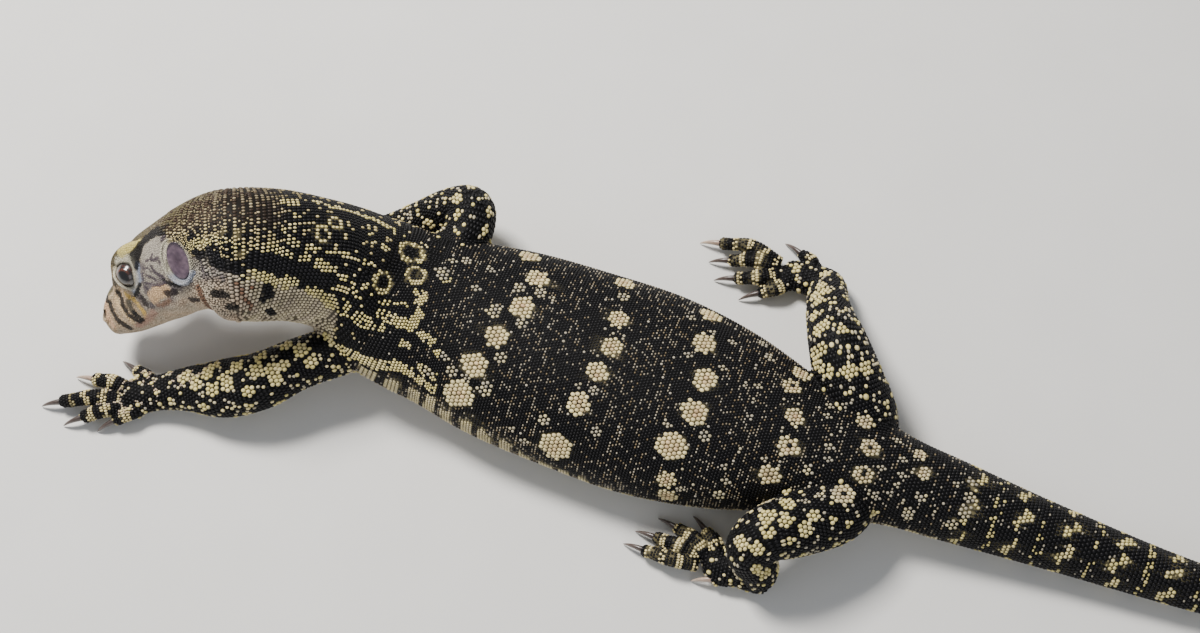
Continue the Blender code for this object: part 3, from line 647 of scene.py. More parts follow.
def head_forms():
    """The head's own forms, which the skin is fused from."""
    forms = []
    for side in (1, -1):
        brow = head_point(BROW[0], BROW[1] * side, BROW[2])
        axes = head_frame(side_direction(side, 0.0, 0.4), -HEAD_FORWARD)
        forms.append(blob(brow, axes, BROW_HALF))
        ridge = [head_point(b, s * side, u) for b, s, u, _ in CANTHUS]
        forms.append(loft(tube_way(ridge, [(size, size) for *_, size in CANTHUS]), 24))
        cheek = head_point(CHEEK_PLACE[0], CHEEK_PLACE[1] * side, CHEEK_PLACE[2])
        axes = head_frame(side_direction(side, 0.1, -0.1), -HEAD_FORWARD)
        forms.append(blob(cheek, axes, CHEEK_HALF))
        forms.append(hoop(ear_opening(side), ear_frame(side), EAR_RIM, EAR_RIM_RADIUS))
        eye = eye_centre(side)
        axes = head_frame(side_direction(side), -HEAD_FORWARD)
        forms.append(blob(eye, axes, (EYE_RADIUS + LID_THICKNESS,) * 3))
        rim = eye + lid_directions(side, LID_RIM[0]) * (EYE_RADIUS + LID_RIM[1])
        forms.append(ringed(rim, LID_RIM_RADIUS))
        around = lid_directions(side, LID_FOLD[0])[14:34]
        fold = eye + around * (EYE_RADIUS + LID_FOLD[1])
        swell = 0.5 * np.sin(np.linspace(0.3, math.pi - 0.3, len(fold))) ** 0.5
        forms.append(loft(tube_way(fold, np.stack((swell, swell), 1)), 12))
        axes = head_frame(side_direction(side, -0.2, 0.7), -HEAD_FORWARD)
        forms.append(blob(nostril_place(side), axes, NOSE_HALF))
    for back, angle, radius in THROAT_FOLDS:
        around = np.linspace(-angle, angle - 180.0, 13)
        fold = [section_point(back, turn, radius * 0.45) for turn in around]
        swell = radius * np.sin(np.linspace(0.25, math.pi - 0.25, 13)) ** 0.6
        forms.append(loft(tube_way(fold, np.stack((swell, swell), 1)), 20))
    return forms


def body_forms():
    """The trunk, with head, neck and tail, and then the limbs and digits."""
    end = SPINE.total - 0.1
    places = np.append(np.arange(0.0, end, SPINE_STEP), end)
    forms = [loft(SPINE, SPINE_SIDES, places)]
    for limb in LIMBS:
        forms.append(loft(limb_way(limb), LIMB_SIDES))
        for index in range(len(DIGITS[limb])):
            forms.append(loft(digit_way(limb, index), DIGIT_SIDES))
    return forms


def head_holes():
    """Eye sockets, ear cups, nostrils and the line of the mouth."""
    forms = []
    for side in (1, -1):
        place = eye_centre(side)
        axes = head_frame(side_direction(side), -HEAD_FORWARD)
        forms.append(blob(place, axes, (EYE_RADIUS + SOCKET_GAP,) * 3))
        opening = [place + lid_directions(side, swell) * reach for swell, reach in (
            (1.00, 1.5), (1.02, EYE_RADIUS), (1.08, EYE_RADIUS + 0.5), (1.20, 8.5),
            (0.80, 9.0), (0.40, 9.3), (0.05, 9.4))]
        forms.append(grid(np.array(opening)))
        forms.append(blob(ear_opening(side, 0.3), ear_frame(side), EAR_HALF))
        axes = head_frame(side_direction(side, -0.2, 0.7), -HEAD_FORWARD)
        forms.append(blob(nostril_place(side, 0.6, 0.9), axes, NOSTRIL_HALF))
    path = lip_path()
    forms.append(loft(tube_way(path, [(LIP_GROOVE, LIP_GROOVE)] * len(path), 0.6), 10))
    return forms


def vertex_array(mesh, kind="co"):
    values = np.empty(len(mesh.vertices) * 3)
    mesh.vertices.foreach_get(kind, values)
    return values.reshape(-1, 3)


def set_vertices(mesh, points):
    mesh.vertices.foreach_set("co", np.ascontiguousarray(points).ravel())
    mesh.update()


def blunt_snout(points):
    """Press the tip of the snout back and round the top of the snout up."""
    offset = points - SNOUT_TIP
    behind = -offset @ HEAD_FORWARD
    height = offset @ HEAD_UP
    near = np.linalg.norm(offset, axis=1) < SNOUT_REACH
    past = np.log1p(np.exp((behind - SNOUT_FLAT) / SNOUT_SOFTNESS))
    push = SNOUT_FLAT + SNOUT_SOFTNESS * past - behind
    push = push * near * (behind < SNOUT_BACK)
    lift = SNOUT_LIFT * soft_step(behind, 4.5, 8.0) * (1 - soft_step(behind, 9.5, 17.0))
    lift = lift - SNOUT_DROP * (1 - soft_step(behind, 3.0, 6.0))
    lift = lift * soft_step(height, 0.5, 4.0) * near
    return points - push[:, None] * HEAD_FORWARD + lift[:, None] * HEAD_UP


def head_share(points):
    """1 in the head, falling to 0 over the nape, for points in mm."""
    behind = (SNOUT_TIP - points) @ HEAD_FORWARD
    near = np.linalg.norm(points - head_point(*HEAD_MIDDLE), axis=1)
    return np.clip((NAPE_END - behind) / NAPE_FADE, 0.0, 1.0) * (near < HEAD_REACH)


def thin_out(skin, name, rows, wanted):
    """Bring the triangles at some vertices down to about the wanted number."""
    mesh = skin.data
    mesh.calc_loop_triangles()
    corners = np.empty(len(mesh.loop_triangles) * 3, np.int32)
    mesh.loop_triangles.foreach_get("vertices", corners)
    inside = rows[corners.reshape(-1, 3)].any(1).sum()
    total = len(mesh.loop_triangles)
    group = skin.vertex_groups.new(name=name)
    group.add(np.where(rows)[0].tolist(), 1.0, "REPLACE")
    thin = skin.modifiers.new("thin", "DECIMATE")
    thin.ratio = (total - inside + wanted) / total
    thin.vertex_group = name
    thin.use_collapse_triangulate = True
    applied(skin)
    skin.vertex_groups.clear()


def make_skin():
    """One skin over the whole body, a little inside the scales."""
    trunk, *limbs = body_forms()
    formed = [(blunt_snout(np.asarray(points)), faces)
              for points, faces in [trunk] + head_forms()]
    skin = make_object("skin", *joined(formed + limbs))
    fuse = skin.modifiers.new("fuse", "REMESH")
    fuse.mode = "VOXEL"
    fuse.voxel_size = VOXEL * MM
    soften = skin.modifiers.new("soften", "SMOOTH")
    soften.factor = 0.5
    soften.iterations = 8
    applied(skin)
    points = vertex_array(skin.data) / MM
    share = head_share(points)
    normals = vertex_array(skin.data, "normal")
    depth = SKIN_DEPTH + (HEAD_DEPTH - SKIN_DEPTH) * share
    points -= normals * depth[:, None]
    points[:, 2] = np.maximum(points[:, 2], SKIN_FLOOR)
    set_vertices(skin.data, points * MM)
    for name, wanted in (("body", BODY_SHARE), ("head", HEAD_SHARE)):
        front = head_share(vertex_array(skin.data) / MM) > 0.5
        thin_out(skin, name, front if name == "head" else ~front, wanted)
    for form in head_holes():
        cutter = face_out(make_object("hole", *form))
        cut = skin.modifiers.new("cut", "BOOLEAN")
        cut.operation = "DIFFERENCE"
        cut.solver = "MANIFOLD"
        cut.object = cutter
    applied(skin)
    for item in [item for item in bpy.data.objects if item.name.startswith("hole")]:
        bpy.data.objects.remove(item)
    skin.data.shade_smooth()
    return skin


# Colours, as linear light


def linear(red, green, blue):
    """Linear colour from 0 to 255 values."""
    value = np.array((red, green, blue)) / 255.0
    return np.where(value <= 0.04045, value / 12.92, ((value + 0.055) / 1.055) ** 2.4)


BLACK = linear(15, 14, 17)
CREAM = linear(232, 216, 162)
ROSE = linear(188, 142, 112)
TAN = linear(164, 142, 106)
YELLOW = linear(224, 208, 132)
STRAW = linear(214, 196, 140)
DULL = linear(172, 164, 148)
BROWN = linear(84, 66, 50)
NAPE = linear(186, 172, 138)
NAPEDULL = linear(138, 118, 92)
BELLY = linear(222, 208, 172)
OLIVE = linear(126, 116, 78)
PALE = linear(190, 176, 152)
CHEEK = linear(168, 160, 148)
MAUVE = linear(78, 68, 78)
ORANGE = linear(206, 176, 140)
THROAT = linear(198, 182, 160)
BROWPALE = linear(212, 206, 184)
BROWYELLOW = linear(206, 190, 116)
LIDPALE = linear(222, 214, 190)
LIDGREY = linear(150, 156, 172)
PEACH = linear(222, 182, 146)
BARPALE = linear(230, 200, 154)
SNOUTYELLOW = linear(220, 182, 98)
SNOUTOLIVE = linear(84, 78, 66)
PEACHJAW = linear(206, 172, 132)
CORNER = linear(134, 104, 86)
LIPS = linear(186, 150, 132)
INK = linear(22, 21, 25)
BLOTCH = linear(48, 40, 42)
WORM = linear(78, 68, 76)
GRANULE = linear(150, 158, 178)
RUST = linear(124, 90, 70)

# Markings: places are (mm along the spine from the snout, degrees round it from
# the back's midline, + to the animal's left); the right side mirrors the head

# Ringed spots of the back: place, angle, width
OCELLI = (
    (125.2, -68, 5.6), (130.0, -49, 6.0), (129.2, -21, 6.6), (125.8, 14, 6.6),
    (123.2, 42, 7.2), (121.5, 64, 8.0),
    (151.5, -69, 5.4), (154.0, -36, 5.4), (155.2, -11, 5.4),
    (154.0, 15, 5.8), (152.2, 42, 6.2), (149.8, 71, 8.6),
    (175.8, -69, 6.4), (177.0, -42, 6.6), (180.5, -12, 6.4), (181.0, 20, 7.2),
    (178.2, 49, 8.0), (179.5, 70, 5.0), (180.8, 82, 5.2),
    (202.8, -59, 5.2), (201.5, -39, 5.0), (204.8, -9, 5.2),
    (205.8, 22, 5.6), (203.8, 51, 5.6), (205.0, 70, 5.4),
    (222.2, -37, 4.4), (225.5, -10, 5.2), (226.0, 24, 5.4), (222.8, 47, 6.2),
    (237.8, -30, 3.6), (240.2, -6, 3.8),
)
RINGED = (20, 22, 26, 27, 28)      # those with a dark middle
# Where their rows lie; the pale flecks, partly painted glints, are fewer there
SPOT_ROWS = (100.0, 125.0, 152.5, 178.5, 204.0, 224.5, 241.0)

# Small pale groups between the ringed spots: place, angle, radius
CLUSTERS = (
    (126.5, -36, 1.8), (122.8, -8, 2.2), (130.8, -5, 1.5), (128.8, 31, 1.7), (118.0, 52, 1.8),
    (127.8, 54, 2.2), (114.8, 44, 1.2), (132.2, -37, 1.7), (136.0, -36, 1.1), (115.8, -25, 1.4),
    (105.8, -27, 2.2), (150.8, 30, 1.0), (154.8, 30, 1.3), (152.8, -55, 1.8), (152.5, 2, 0.7),
    (151.8, -24, 0.7), (154.2, -23, 0.6), (157.0, -23, 0.7), (138.0, 70, 1.1), (145.0, 59, 1.5),
    (158.8, 55, 1.3), (141.5, 75, 1.2), (175.5, 35, 1.0), (122.0, 53, 1.2), (120.8, 57, 1.0),
    (111.2, 59, 1.6), (142.8, -1, 0.8), (117.5, -45, 1.3), (107.2, -42, 1.3), (110.5, -46, 1.2),
    (174.2, -28, 1.1), (183.5, -28, 1.2), (185.2, 36, 1.4), (192.5, 52, 1.1), (193.8, 62, 1.4),
    (208.2, 60, 1.1), (201.5, 38, 1.1), (205.0, 38, 1.0), (212.5, 38, 1.6), (200.8, -23, 0.9),
    (204.5, -24, 1.0), (202.8, 7, 0.9), (212.2, -38, 1.2), (194.5, 6, 1.0), (194.5, 37, 1.0),
    (193.2, 74, 1.5), (183.5, 74, 1.2), (186.2, 69, 1.0), (175.5, 35, 1.2), (182.5, 61, 0.9),
    (214.0, 49, 1.0), (214.2, 54, 1.2), (217.2, 51, 0.9), (216.2, 20, 1.2), (215.5, 7, 1.4),
    (215.0, -6, 0.9), (216.8, -17, 0.9), (216.0, -41, 1.1), (212.5, -26, 1.2), (217.0, -42, 0.8),
    (229.8, 8, 1.1), (235.0, 8, 1.2), (234.2, 35, 1.0), (231.0, 44, 1.2), (228.8, 41, 0.9),
    (234.2, -13, 1.2), (231.2, -35, 1.2), (237.2, -3, 0.8), (235.0, 22, 1.0), (237.5, 40, 0.8),
    (193.5, -25, 1.1), (190.2, -22, 0.9), (193.5, -10, 0.8), (227.8, -28, 0.9), (239.8, 54, 2.2),
    (183.5, -54, 1.1), (171.2, -58, 1.3), (178.2, -54, 1.0), (191.2, -42, 1.0), (193.8, -56, 1.4),
    (190.8, -67, 1.2),
    (241.2, 28, 1.6), (239.8, 55, 1.8), (253.0, 5, 1.6), (253.0, 18, 1.8), (253.2, 29, 1.6),
    (251.2, 52, 1.6), (247.2, 26, 0.8), (245.8, 43, 0.8), (252.6, -20, 1.5), (249.0, -8, 1.0),
)

# Painted lines on the head and throat: colour, half width, softness, path
HEAD_LINES = (
    (CHEEK, 2.60, 1.60, ((34.0, 46), (37.5, 48), (37.0, 60), (33.5, 64))),
    (BROWPALE, 1.70, 0.80, ((24.0, 37), (26.5, 38), (28.0, 43))),
    (BROWYELLOW, 1.50, 0.80, ((26.2, 33), (28.2, 32), (30.0, 31), (31.0, 28))),
    (LIDPALE, 1.10, 0.50, ((20.8, 44), (20.2, 49), (21.0, 60), (23.0, 68))),
    (LIDGREY, 0.75, 0.40, ((29.2, 49), (28.0, 55), (27.0, 62), (24.5, 67), (21.8, 68))),
    (SNOUTOLIVE, 1.70, 1.00, ((3.0, 0), (8.0, 6), (13.0, 14), (16.5, 26), (17.0, 40))),
    (PEACH, 1.00, 0.50, ((7.8, 40), (6.2, 61), (5.2, 91))),
    (BARPALE, 0.60, 0.30, ((13.2, 49), (12.5, 65), (12.5, 84), (13.0, 101), (12.5, 117))),
    (SNOUTYELLOW, 0.75, 0.40, ((17.8, 61), (19.8, 75), (19.8, 89), (20.0, 102), (18.2, 117))),
    (SNOUTOLIVE, 1.15, 0.60, ((17.0, 74), (16.2, 85), (16.2, 94))),
    (PEACHJAW, 1.90, 1.00, ((27.0, 91), (30.8, 90), (33.5, 92))),
    (CORNER, 0.70, 1.20, ((27.5, 102), (30.5, 105), (32.2, 105))),
    (LIPS, 1.10, 1.40, ((13.2, 123), (18.0, 118), (22.8, 111))),
    (INK, 0.92, 0.32, ((8.5, 31), (9.8, 48), (9.2, 56), (8.8, 72), (8.8, 92), (9.8, 105),
                       (9.8, 120))),
    (INK, 0.88, 0.32, ((15.5, 49), (15.0, 61), (14.0, 75), (13.8, 91), (14.8, 106), (15.2, 114))),
    (INK, 1.02, 0.35, ((16.2, 97), (16.5, 104), (16.5, 112))),
    (BLOTCH, 1.32, 0.42, ((23.2, 85), (23.0, 91))),
    (INK, 1.58, 0.39, ((28.2, 48), (29.5, 43), (31.2, 37), (34.0, 30), (36.8, 31), (38.8, 37),
                       (41.5, 45), (43.0, 51))),
    (INK, 1.32, 0.56, ((43.0, 51), (44.0, 59))),
    (INK, 1.22, 0.56, ((40.0, 39), (42.2, 43), (43.2, 45))),
    (INK, 0.57, 0.14, ((26.0, 67), (23.5, 71), (21.2, 73))),
    (WORM, 0.48, 0.28, ((35.2, 56), (37.0, 61), (37.0, 66))),
    (WORM, 0.52, 0.28, ((34.2, 61), (34.2, 68), (35.0, 74), (35.8, 81))),
    (WORM, 0.48, 0.28, ((30.5, 66), (31.5, 71), (32.5, 76))),
    (WORM, 0.48, 0.28, ((29.2, 60), (28.2, 66))),
    (WORM, 0.34, 0.17, ((28.2, 71), (30.2, 77))),
    (WORM, 0.66, 0.21, ((39.2, 48), (39.2, 50))),
    (GRANULE, 1.00, 0.50, ((38.8, 91), (40.5, 99), (42.0, 100), (43.2, 96))),
    (INK, 0.62, 0.14, ((35.2, 84), (36.5, 92), (38.0, 100))),
    (BLOTCH, 0.97, 0.35, ((33.5, 96), (35.8, 101))),
    (BLOTCH, 0.97, 0.28, ((37.8, 121), (39.5, 125))),
    (INK, 1.37, 0.49, ((45.5, 124), (46.8, 126))),
    (INK, 1.22, 0.42, ((47.0, 142), (48.0, 141))),
    (RUST, 0.70, 0.50, ((43.0, 113), (42.2, 127), (41.0, 141), (40.4, 152), (41.6, 162))),
    (RUST, 0.55, 0.50, ((49.0, 112), (50.2, 127), (52.8, 139))),
    (RUST, 0.60, 0.40, ((51.5, 116), (52.0, 116))),
    (INK, 1.58, 0.42, ((54.8, 109), (55.8, 119))),
    (INK, 1.02, 0.35, ((54.5, 125), (54.8, 126))),
    (INK, 1.12, 0.35, ((57.8, 137), (58.8, 139))),
    (INK, 1.12, 0.42, ((44.8, 72), (45.2, 79), (46.5, 78), (47.2, 86), (47.8, 90), (49.2, 93),
                       (50.2, 104))),
    (INK, 1.32, 0.42, ((46.8, 89), (48.0, 96), (49.8, 99))),
    (INK, 1.88, 0.35, ((51.0, 82), (52.8, 77), (57.5, 78), (62.5, 76), (69.2, 76), (74.0, 74))),
    (INK, 2.18, 0.42, ((51.5, 89), (55.5, 92), (61.0, 90), (66.5, 87))),
    (WORM, 0.40, 0.30, ((31.0, 80), (33.0, 84), (35.0, 85))),
    (WORM, 0.32, 0.30, ((27.0, 74), (28.0, 81), (27.5, 86))),
    (WORM, 0.26, 0.30, ((33.0, 52), (35.0, 54), (36.5, 53))),
    (WORM, 0.26, 0.30, ((30.0, 57), (32.5, 60), (33.0, 66))),
)

# Lines of pale beads on the black neck and shoulder: half width, path
PALE_LINES = (
    (0.85, ((44.2, 68), (47.0, 64), (48.5, 70), (50.0, 76))),
    (0.75, ((51.5, 69), (53.8, 67), (57.0, 65), (59.8, 67))),
    (0.95, ((61.0, 64), (63.0, 62))),
    (0.85, ((64.8, 64), (67.5, 63), (70.0, 63))),
    (0.85, ((71.2, 65), (73.5, 59))),
    (0.40, ((66.2, 50), (69.0, 46), (72.0, 43), (75.5, 36))),
    (0.45, ((76.0, 34), (79.8, 24), (84.0, 11))),
    (0.50, ((56.5, 46), (57.5, 40), (59.0, 39), (59.2, 44))),
    (0.80, ((58.2, 53), (60.0, 54))),
    (0.70, ((62.0, 53), (64.2, 49))),
    (0.65, ((66.5, 18), (69.0, 20))),
    (0.80, ((57.0, 16), (59.5, 12))),
    (0.50, ((59.0, 28), (59.5, 29))),
    (0.60, ((76.2, -3), (76.8, 3))),
    (0.65, ((77.5, -21), (79.8, -26))),
    (0.65, ((77.5, 10), (81.5, -4))),
    (0.80, ((100.0, 1), (102.2, 2), (103.0, 8), (101.8, 11))),
    (0.45, ((90.5, 32), (95.5, 23), (98.8, 18))),
    (0.80, ((74.2, 63), (75.8, 59))),
    (0.80, ((78.8, 47), (81.8, 41))),
    (1.10, ((79.8, 63), (81.0, 60))),
    (1.20, ((71.0, 93), (76.0, 84), (82.0, 64), (91.8, 49), (95.2, 45))),
    (1.00, ((94.0, 37), (98.2, 34), (102.0, 33), (103.0, 21))),
    (0.80, ((105.8, 36), (109.2, 38))),
    (0.60, ((101.5, 48), (103.5, 48))),
    (0.80, ((112.2, 44), (114.2, 44))),
    (1.10, ((86.0, 95), (93.0, 78), (98.5, 73), (102.0, 65), (106.5, 65), (113.8, 68))),
    (0.80, ((108.8, 59), (113.2, 60))),
    (0.60, ((83.0, -32), (87.0, -38))),
    (0.60, ((92.8, -44), (95.5, -45))),
    (0.80, ((104.2, -26), (107.5, -22))),
    (0.60, ((64.0, 2), (68.0, -1), (73.0, -9), (78.0, -23), (83.0, -34))),
    (0.90, ((50.5, 100), (53.8, 99), (58.8, 102))),
    (0.90, ((59.2, 93), (61.2, 93))),
    (0.90, ((65.0, 93), (68.5, 92), (71.2, 88))),
    (0.80, ((74.8, 79), (76.5, 76))),
    (0.55, ((70.2, 78), (78.8, 56))),
)
# Rings of pale beads: place, angle, radius, half width
PALE_RINGS = (
    (64.5, 36, 1.9, 0.55),
    (91.8, -30, 3.0, 0.70),
    (84.0, 23, 2.5, 0.70),
    (97.2, -13, 2.2, 0.60),
    (67.8, 19, 1.6, 0.60),
)

# Pale bars and groups on the limbs: limb, length along it, angle, width
LIMB_SPOTS = (
    ("leg_r", 32.5, 42, 4.3), ("leg_r", 32.5, 30, 4.5), ("leg_r", 32.5, 18, 4.3),
    ("leg_r", 27.2, 66, 3.7), ("leg_r", 26.2, 56, 4.0), ("leg_r", 25.0, 46, 4.3),
    ("leg_r", 24.5, 34, 3.7), ("leg_r", 29.0, 74, 3.1), ("leg_r", 29.0, 62, 3.4),
    ("leg_r", 29.0, 50, 3.1), ("leg_r", 29.0, 40, 2.8), ("leg_r", 23.5, 5, 4.5),
    ("leg_r", 23.0, -24, 4.0), ("leg_r", 31.0, -5, 3.4), ("leg_r", 36.5, 22, 2.0),
    ("leg_r", 37.0, 44, 3.1), ("leg_r", 38.6, -2, 2.0), ("leg_r", 41.5, 26, 3.7),
    ("leg_r", 44.5, 8, 3.7), ("leg_r", 45.0, 40, 4.0), ("leg_r", 48.5, 20, 4.0),
    ("leg_r", 29.0, 21, 1.7), ("leg_r", 28.0, -6, 1.7), ("leg_r", 27.5, -21, 1.7),
    ("leg_r", 27.5, 11, 1.5), ("leg_r", 19.0, 20, 2.0), ("leg_r", 17.0, -6, 1.8),
    ("arm_l", 14.5, -12, 4.3), ("arm_l", 22.5, -9, 4.8), ("arm_l", 21.0, 25, 4.0),
    ("arm_l", 27.5, 9, 3.7), ("arm_l", 30.5, 11, 4.3), ("arm_l", 34.0, -5, 4.8),
    ("arm_l", 39.5, -27, 4.5), ("arm_l", 47.5, -45, 4.0), ("arm_l", 49.0, -21, 4.3),
    ("arm_l", 30.5, 28, 4.3), ("arm_l", 47.0, 21, 4.5), ("arm_l", 52.0, 5, 4.5),
    ("arm_l", 56.0, -20, 4.0), ("arm_l", 42.5, 14, 4.3), ("arm_l", 37.5, 34, 4.0),
    ("arm_l", 25.5, -38, 3.7), ("arm_l", 32.0, -38, 3.7), ("arm_l", 43.5, -4, 3.7),
    ("leg_l", 31.0, -17, 5.1), ("leg_l", 29.0, 1, 4.8), ("leg_l", 25.5, 27, 4.5),
    ("leg_l", 31.5, 7, 4.5), ("leg_l", 27.0, -30, 4.3), ("leg_l", 34.0, 24, 4.3),
    ("leg_l", 35.5, -6, 4.5), ("leg_l", 22.0, 8, 3.7), ("leg_l", 39.0, 12, 4.3),
    ("leg_l", 42.5, -12, 4.3), ("leg_l", 46.0, 14, 4.3),
)


# Where one colour gives way to the next: from and to, in mm along the spine or
# in degrees round it
CROWN_SPECKS = (31.0, 40.0)
CROWN_SIDE = (40.0, 54.0)
SNOUT_END = (17.0, 23.0)
SNOUT_SIDE = (25.0, 45.0)
BRIDGE_SIDE = (22.0, 40.0)
THROAT_SIDE = (100.0, 118.0)
# Painted shade in and round each nostril's opening reaches this far from it
NOSTRIL_SHADE = (0.9, 1.5)     # mm from the nostril
LID_PALE = (4.2, 5.0)         # mm from the eye's centre
NECK_REACH = 125.0            # the head's and neck's markings end before it
NECK_END = 92.0
TAIL_START = 250.0
LIMB_UNDER = (128.0, 146.0)
DIGIT_TOTAL = (21.0, 24.0)    # the left hand's digits, and the others
DIGIT_BAND = 4.2              # from band to band
BELLY_BAR = 5.6               # from bar to bar
# The same where it changes along the body: places, and values there
HEAD_EDGE = ((0.0, 50.0, 66.0, 90.0, 110.0, 130.0),      # angle to place
             (38.0, 40.0, 43.0, 47.0, 50.0, 52.0))
THROAT_EDGE = ((46.0, 50.0, 58.0, 64.0, 72.0, 90.0),     # place to angle
               (96.0, 96.0, 95.0, 91.0, 92.0, 100.0))
BELLY_EDGE = ((84.0, 96.0, 112.0, 130.0, 150.0, 175.0),  # place to angle
              (94.0, 76.0, 68.0, 74.0, 85.0, 93.0))
NECK_BEADS = ((40.0, 48.0, 56.0, 66.0, 76.0, 100.0),     # chance of a pale bead
              (0.86, 0.80, 0.62, 0.34, 0.15, 0.12))
TAIL_RINGS = ((240.0, 330.0, 590.0), (12.5, 15.0, 19.0))  # distance between rings


def waves(points, length, seed, count=9):
    """Smooth noise of about 0 to 1 in space, from sines; length in mm."""
    draw = np.random.default_rng(seed)
    total = np.zeros(len(points))
    for _ in range(count):
        direction = draw.normal(size=3)
        direction *= draw.uniform(0.6, 1.6) / np.linalg.norm(direction)
        total += np.sin(points @ direction * (2 * math.pi / length) + draw.uniform(0, 6.3))
    return 0.5 + 0.5 * np.clip(total / math.sqrt(count) / 1.4, -1, 1)


def mix(first, second, share):
    share = np.asarray(share)[..., None]
    return first * (1 - share) + second * share


def soft_step(value, low, high):
    share = np.clip((value - low) / (high - low), 0.0, 1.0)
    return share * share * (3 - 2 * share)


class Ground:
    """The skin as a surface to grow scales on."""

    def __init__(self, skin):
        mesh = skin.data
        mesh.calc_loop_triangles()
        self.points = vertex_array(mesh) / MM
        self.normals = vertex_array(mesh, "normal")
        corners = np.empty(len(mesh.loop_triangles) * 3, np.int32)
        mesh.loop_triangles.foreach_get("vertices", corners)
        self.triangles = corners.reshape(-1, 3)
        self.tree = BVHTree.FromPolygons(self.points.tolist(), self.triangles.tolist())
        edges = self.points[self.triangles]
        cross = np.cross(edges[:, 1] - edges[:, 0], edges[:, 2] - edges[:, 0])
        self.areas = np.linalg.norm(cross, axis=1) / 2

    def landed(self, points, limit):
        """Nearest places on the skin, their normals, and which are near enough."""
        roots = np.zeros_like(points)
        normals = np.zeros_like(points)
        good = np.zeros(len(points), bool)
        find = self.tree.find_nearest
        for number, point in enumerate(points.tolist()):
            place, _, face, _ = find(point, limit)
            if place is not None:
                roots[number] = place
                normals[number] = self.normals[self.triangles[face]].sum(0)
                good[number] = True
        normals[~good] = (0.0, 0.0, 1.0)
        return roots, unit(normals), good

    def scattered(self, count, seed, weights=None):
        """Random places on the skin and their normals."""
        draw = np.random.default_rng(seed)
        chance = self.areas if weights is None else self.areas * weights
        chosen = draw.choice(len(self.triangles), count, p=chance / chance.sum())
        a, b = draw.random((2, count))
        fold = a + b > 1
        a[fold], b[fold] = 1 - a[fold], 1 - b[fold]
        share = np.stack((1 - a - b, a, b), 1)[..., None]
        corners = self.triangles[chosen]
        roots = (self.points[corners] * share).sum(1)
        return roots, unit((self.normals[corners] * share).sum(1))

    def hit(self, place, angle):
        """The skin's point at a place along the spine and an angle round it."""
        centre, _, left, up, width, *_ = (row[0] for row in SPINE.at(place))
        turn = math.radians(angle)
        out = left * math.sin(turn) + up * math.cos(turn)
        reach = width + 6.0
        start = Vector((centre + out * reach).tolist())
        found, *_ = self.tree.ray_cast(start, Vector((-out).tolist()), reach)
        return centre + out * width if found is None else np.array(found)


def spine_places(points):
    """Length along the spine and angle round it, for points near it."""
    step = 3
    centre, along, left, up = (column[::step] for column in (
        SPINE.table[:, 0:3], SPINE.table[:, 3:6], SPINE.table[:, 6:9],
        SPINE.table[:, 9:12]))
    lengths = SPINE.lengths[::step]
    places = np.empty(len(points))
    angles = np.empty(len(points))
    for start in range(0, len(points), CHUNK):
        part = points[start:start + CHUNK]
        away = part[:, None] - centre[None]
        cost = np.abs((away * along).sum(2)) + 0.35 * np.linalg.norm(away, axis=2)
        best = cost.argmin(1)
        rows = np.arange(len(part))
        reach = away[rows, best]
        places[start:start + CHUNK] = lengths[best]
        side = (reach * left[best]).sum(1)
        rise = (reach * up[best]).sum(1)
        angles[start:start + CHUNK] = np.degrees(np.arctan2(side, rise))
    return places, angles


# Rows of scales


def trunk_pitch(place, angle):
    """Scale spacing round the body, by place and angle."""
    low = soft_step(np.abs(angle), 104.0, 128.0)
    return np.interp(place, PITCH_PLACES, PITCH_ACROSS) * (1 + BELLY_WIDER * low)


def row_pitch(place):
    """Spacing from row to row along the body."""
    return float(np.interp(place, PITCH_PLACES, PITCH_ALONG))


def even_pitch(value):
    """A spacing that is the same all round."""
    return lambda place, angle: np.full(np.shape(angle), value)


def lattice(way, start, end, across, lengthways):
    """Places in rows round a way, every other row shifted by half a step:
    points, lengths along the way, angles, and the spacing both ways."""
    beds = []
    place = start
    odd = False
    while place < end:
        ring = way.ring(place, RING_POINTS)[0]
        edge = np.linalg.norm(np.roll(ring, -1, 0) - ring, axis=1)
        angle = np.linspace(0.0, 360.0, RING_POINTS + 1)
        turned = np.where(angle > 180, angle - 360, angle)
        spacing = across(place, turned)
        mean = (spacing[1:] + spacing[:-1]) / 2
        steps = np.concatenate(([0.0], np.cumsum(edge / mean)))
        count = max(5, int(round(steps[-1])))
        count = count if count < 24 else int(round(count / 6.0)) * 6
        wanted = (np.arange(count) + (0.5 if odd else 0.0)) * steps[-1] / count
        wanted = np.mod(wanted, steps[-1])
        numbers = np.arange(RING_POINTS + 1.0)
        at = np.interp(wanted, steps, numbers)
        low = np.minimum(at.astype(int), RING_POINTS - 1)
        share = (at - low)[:, None]
        points = ring[low] * (1 - share) + ring[(low + 1) % RING_POINTS] * share
        pitch = lengthways(place)
        beds.append(np.column_stack((
            points, np.full(count, place), np.interp(at, numbers, angle),
            np.interp(at, numbers, spacing), np.full(count, pitch))))
        place += pitch * ROW_STEP
        odd = not odd
    return np.concatenate(beds)


def bed(roots, normals, along, sizes, pitch, owner, place, angle, tint=None):
    """A set of scales as columns; a tint below 0 is painted later."""
    along = unit(along - normals * (along * normals).sum(1, keepdims=True))
    count = len(roots)
    tint = np.full((count, 3), -1.0) if tint is None else tint
    return {
        "root": roots, "normal": normals, "along": along, "size": sizes,
        "pitch": np.broadcast_to(pitch, count).copy(),
        "owner": np.full(count, owner), "place": place, "angle": angle, "tint": tint,
    }


def stacked(beds):
    return {key: np.concatenate([item[key] for item in beds]) for key in beds[0]}


def picked(scales, mask):
    return {key: value[mask] for key, value in scales.items()}


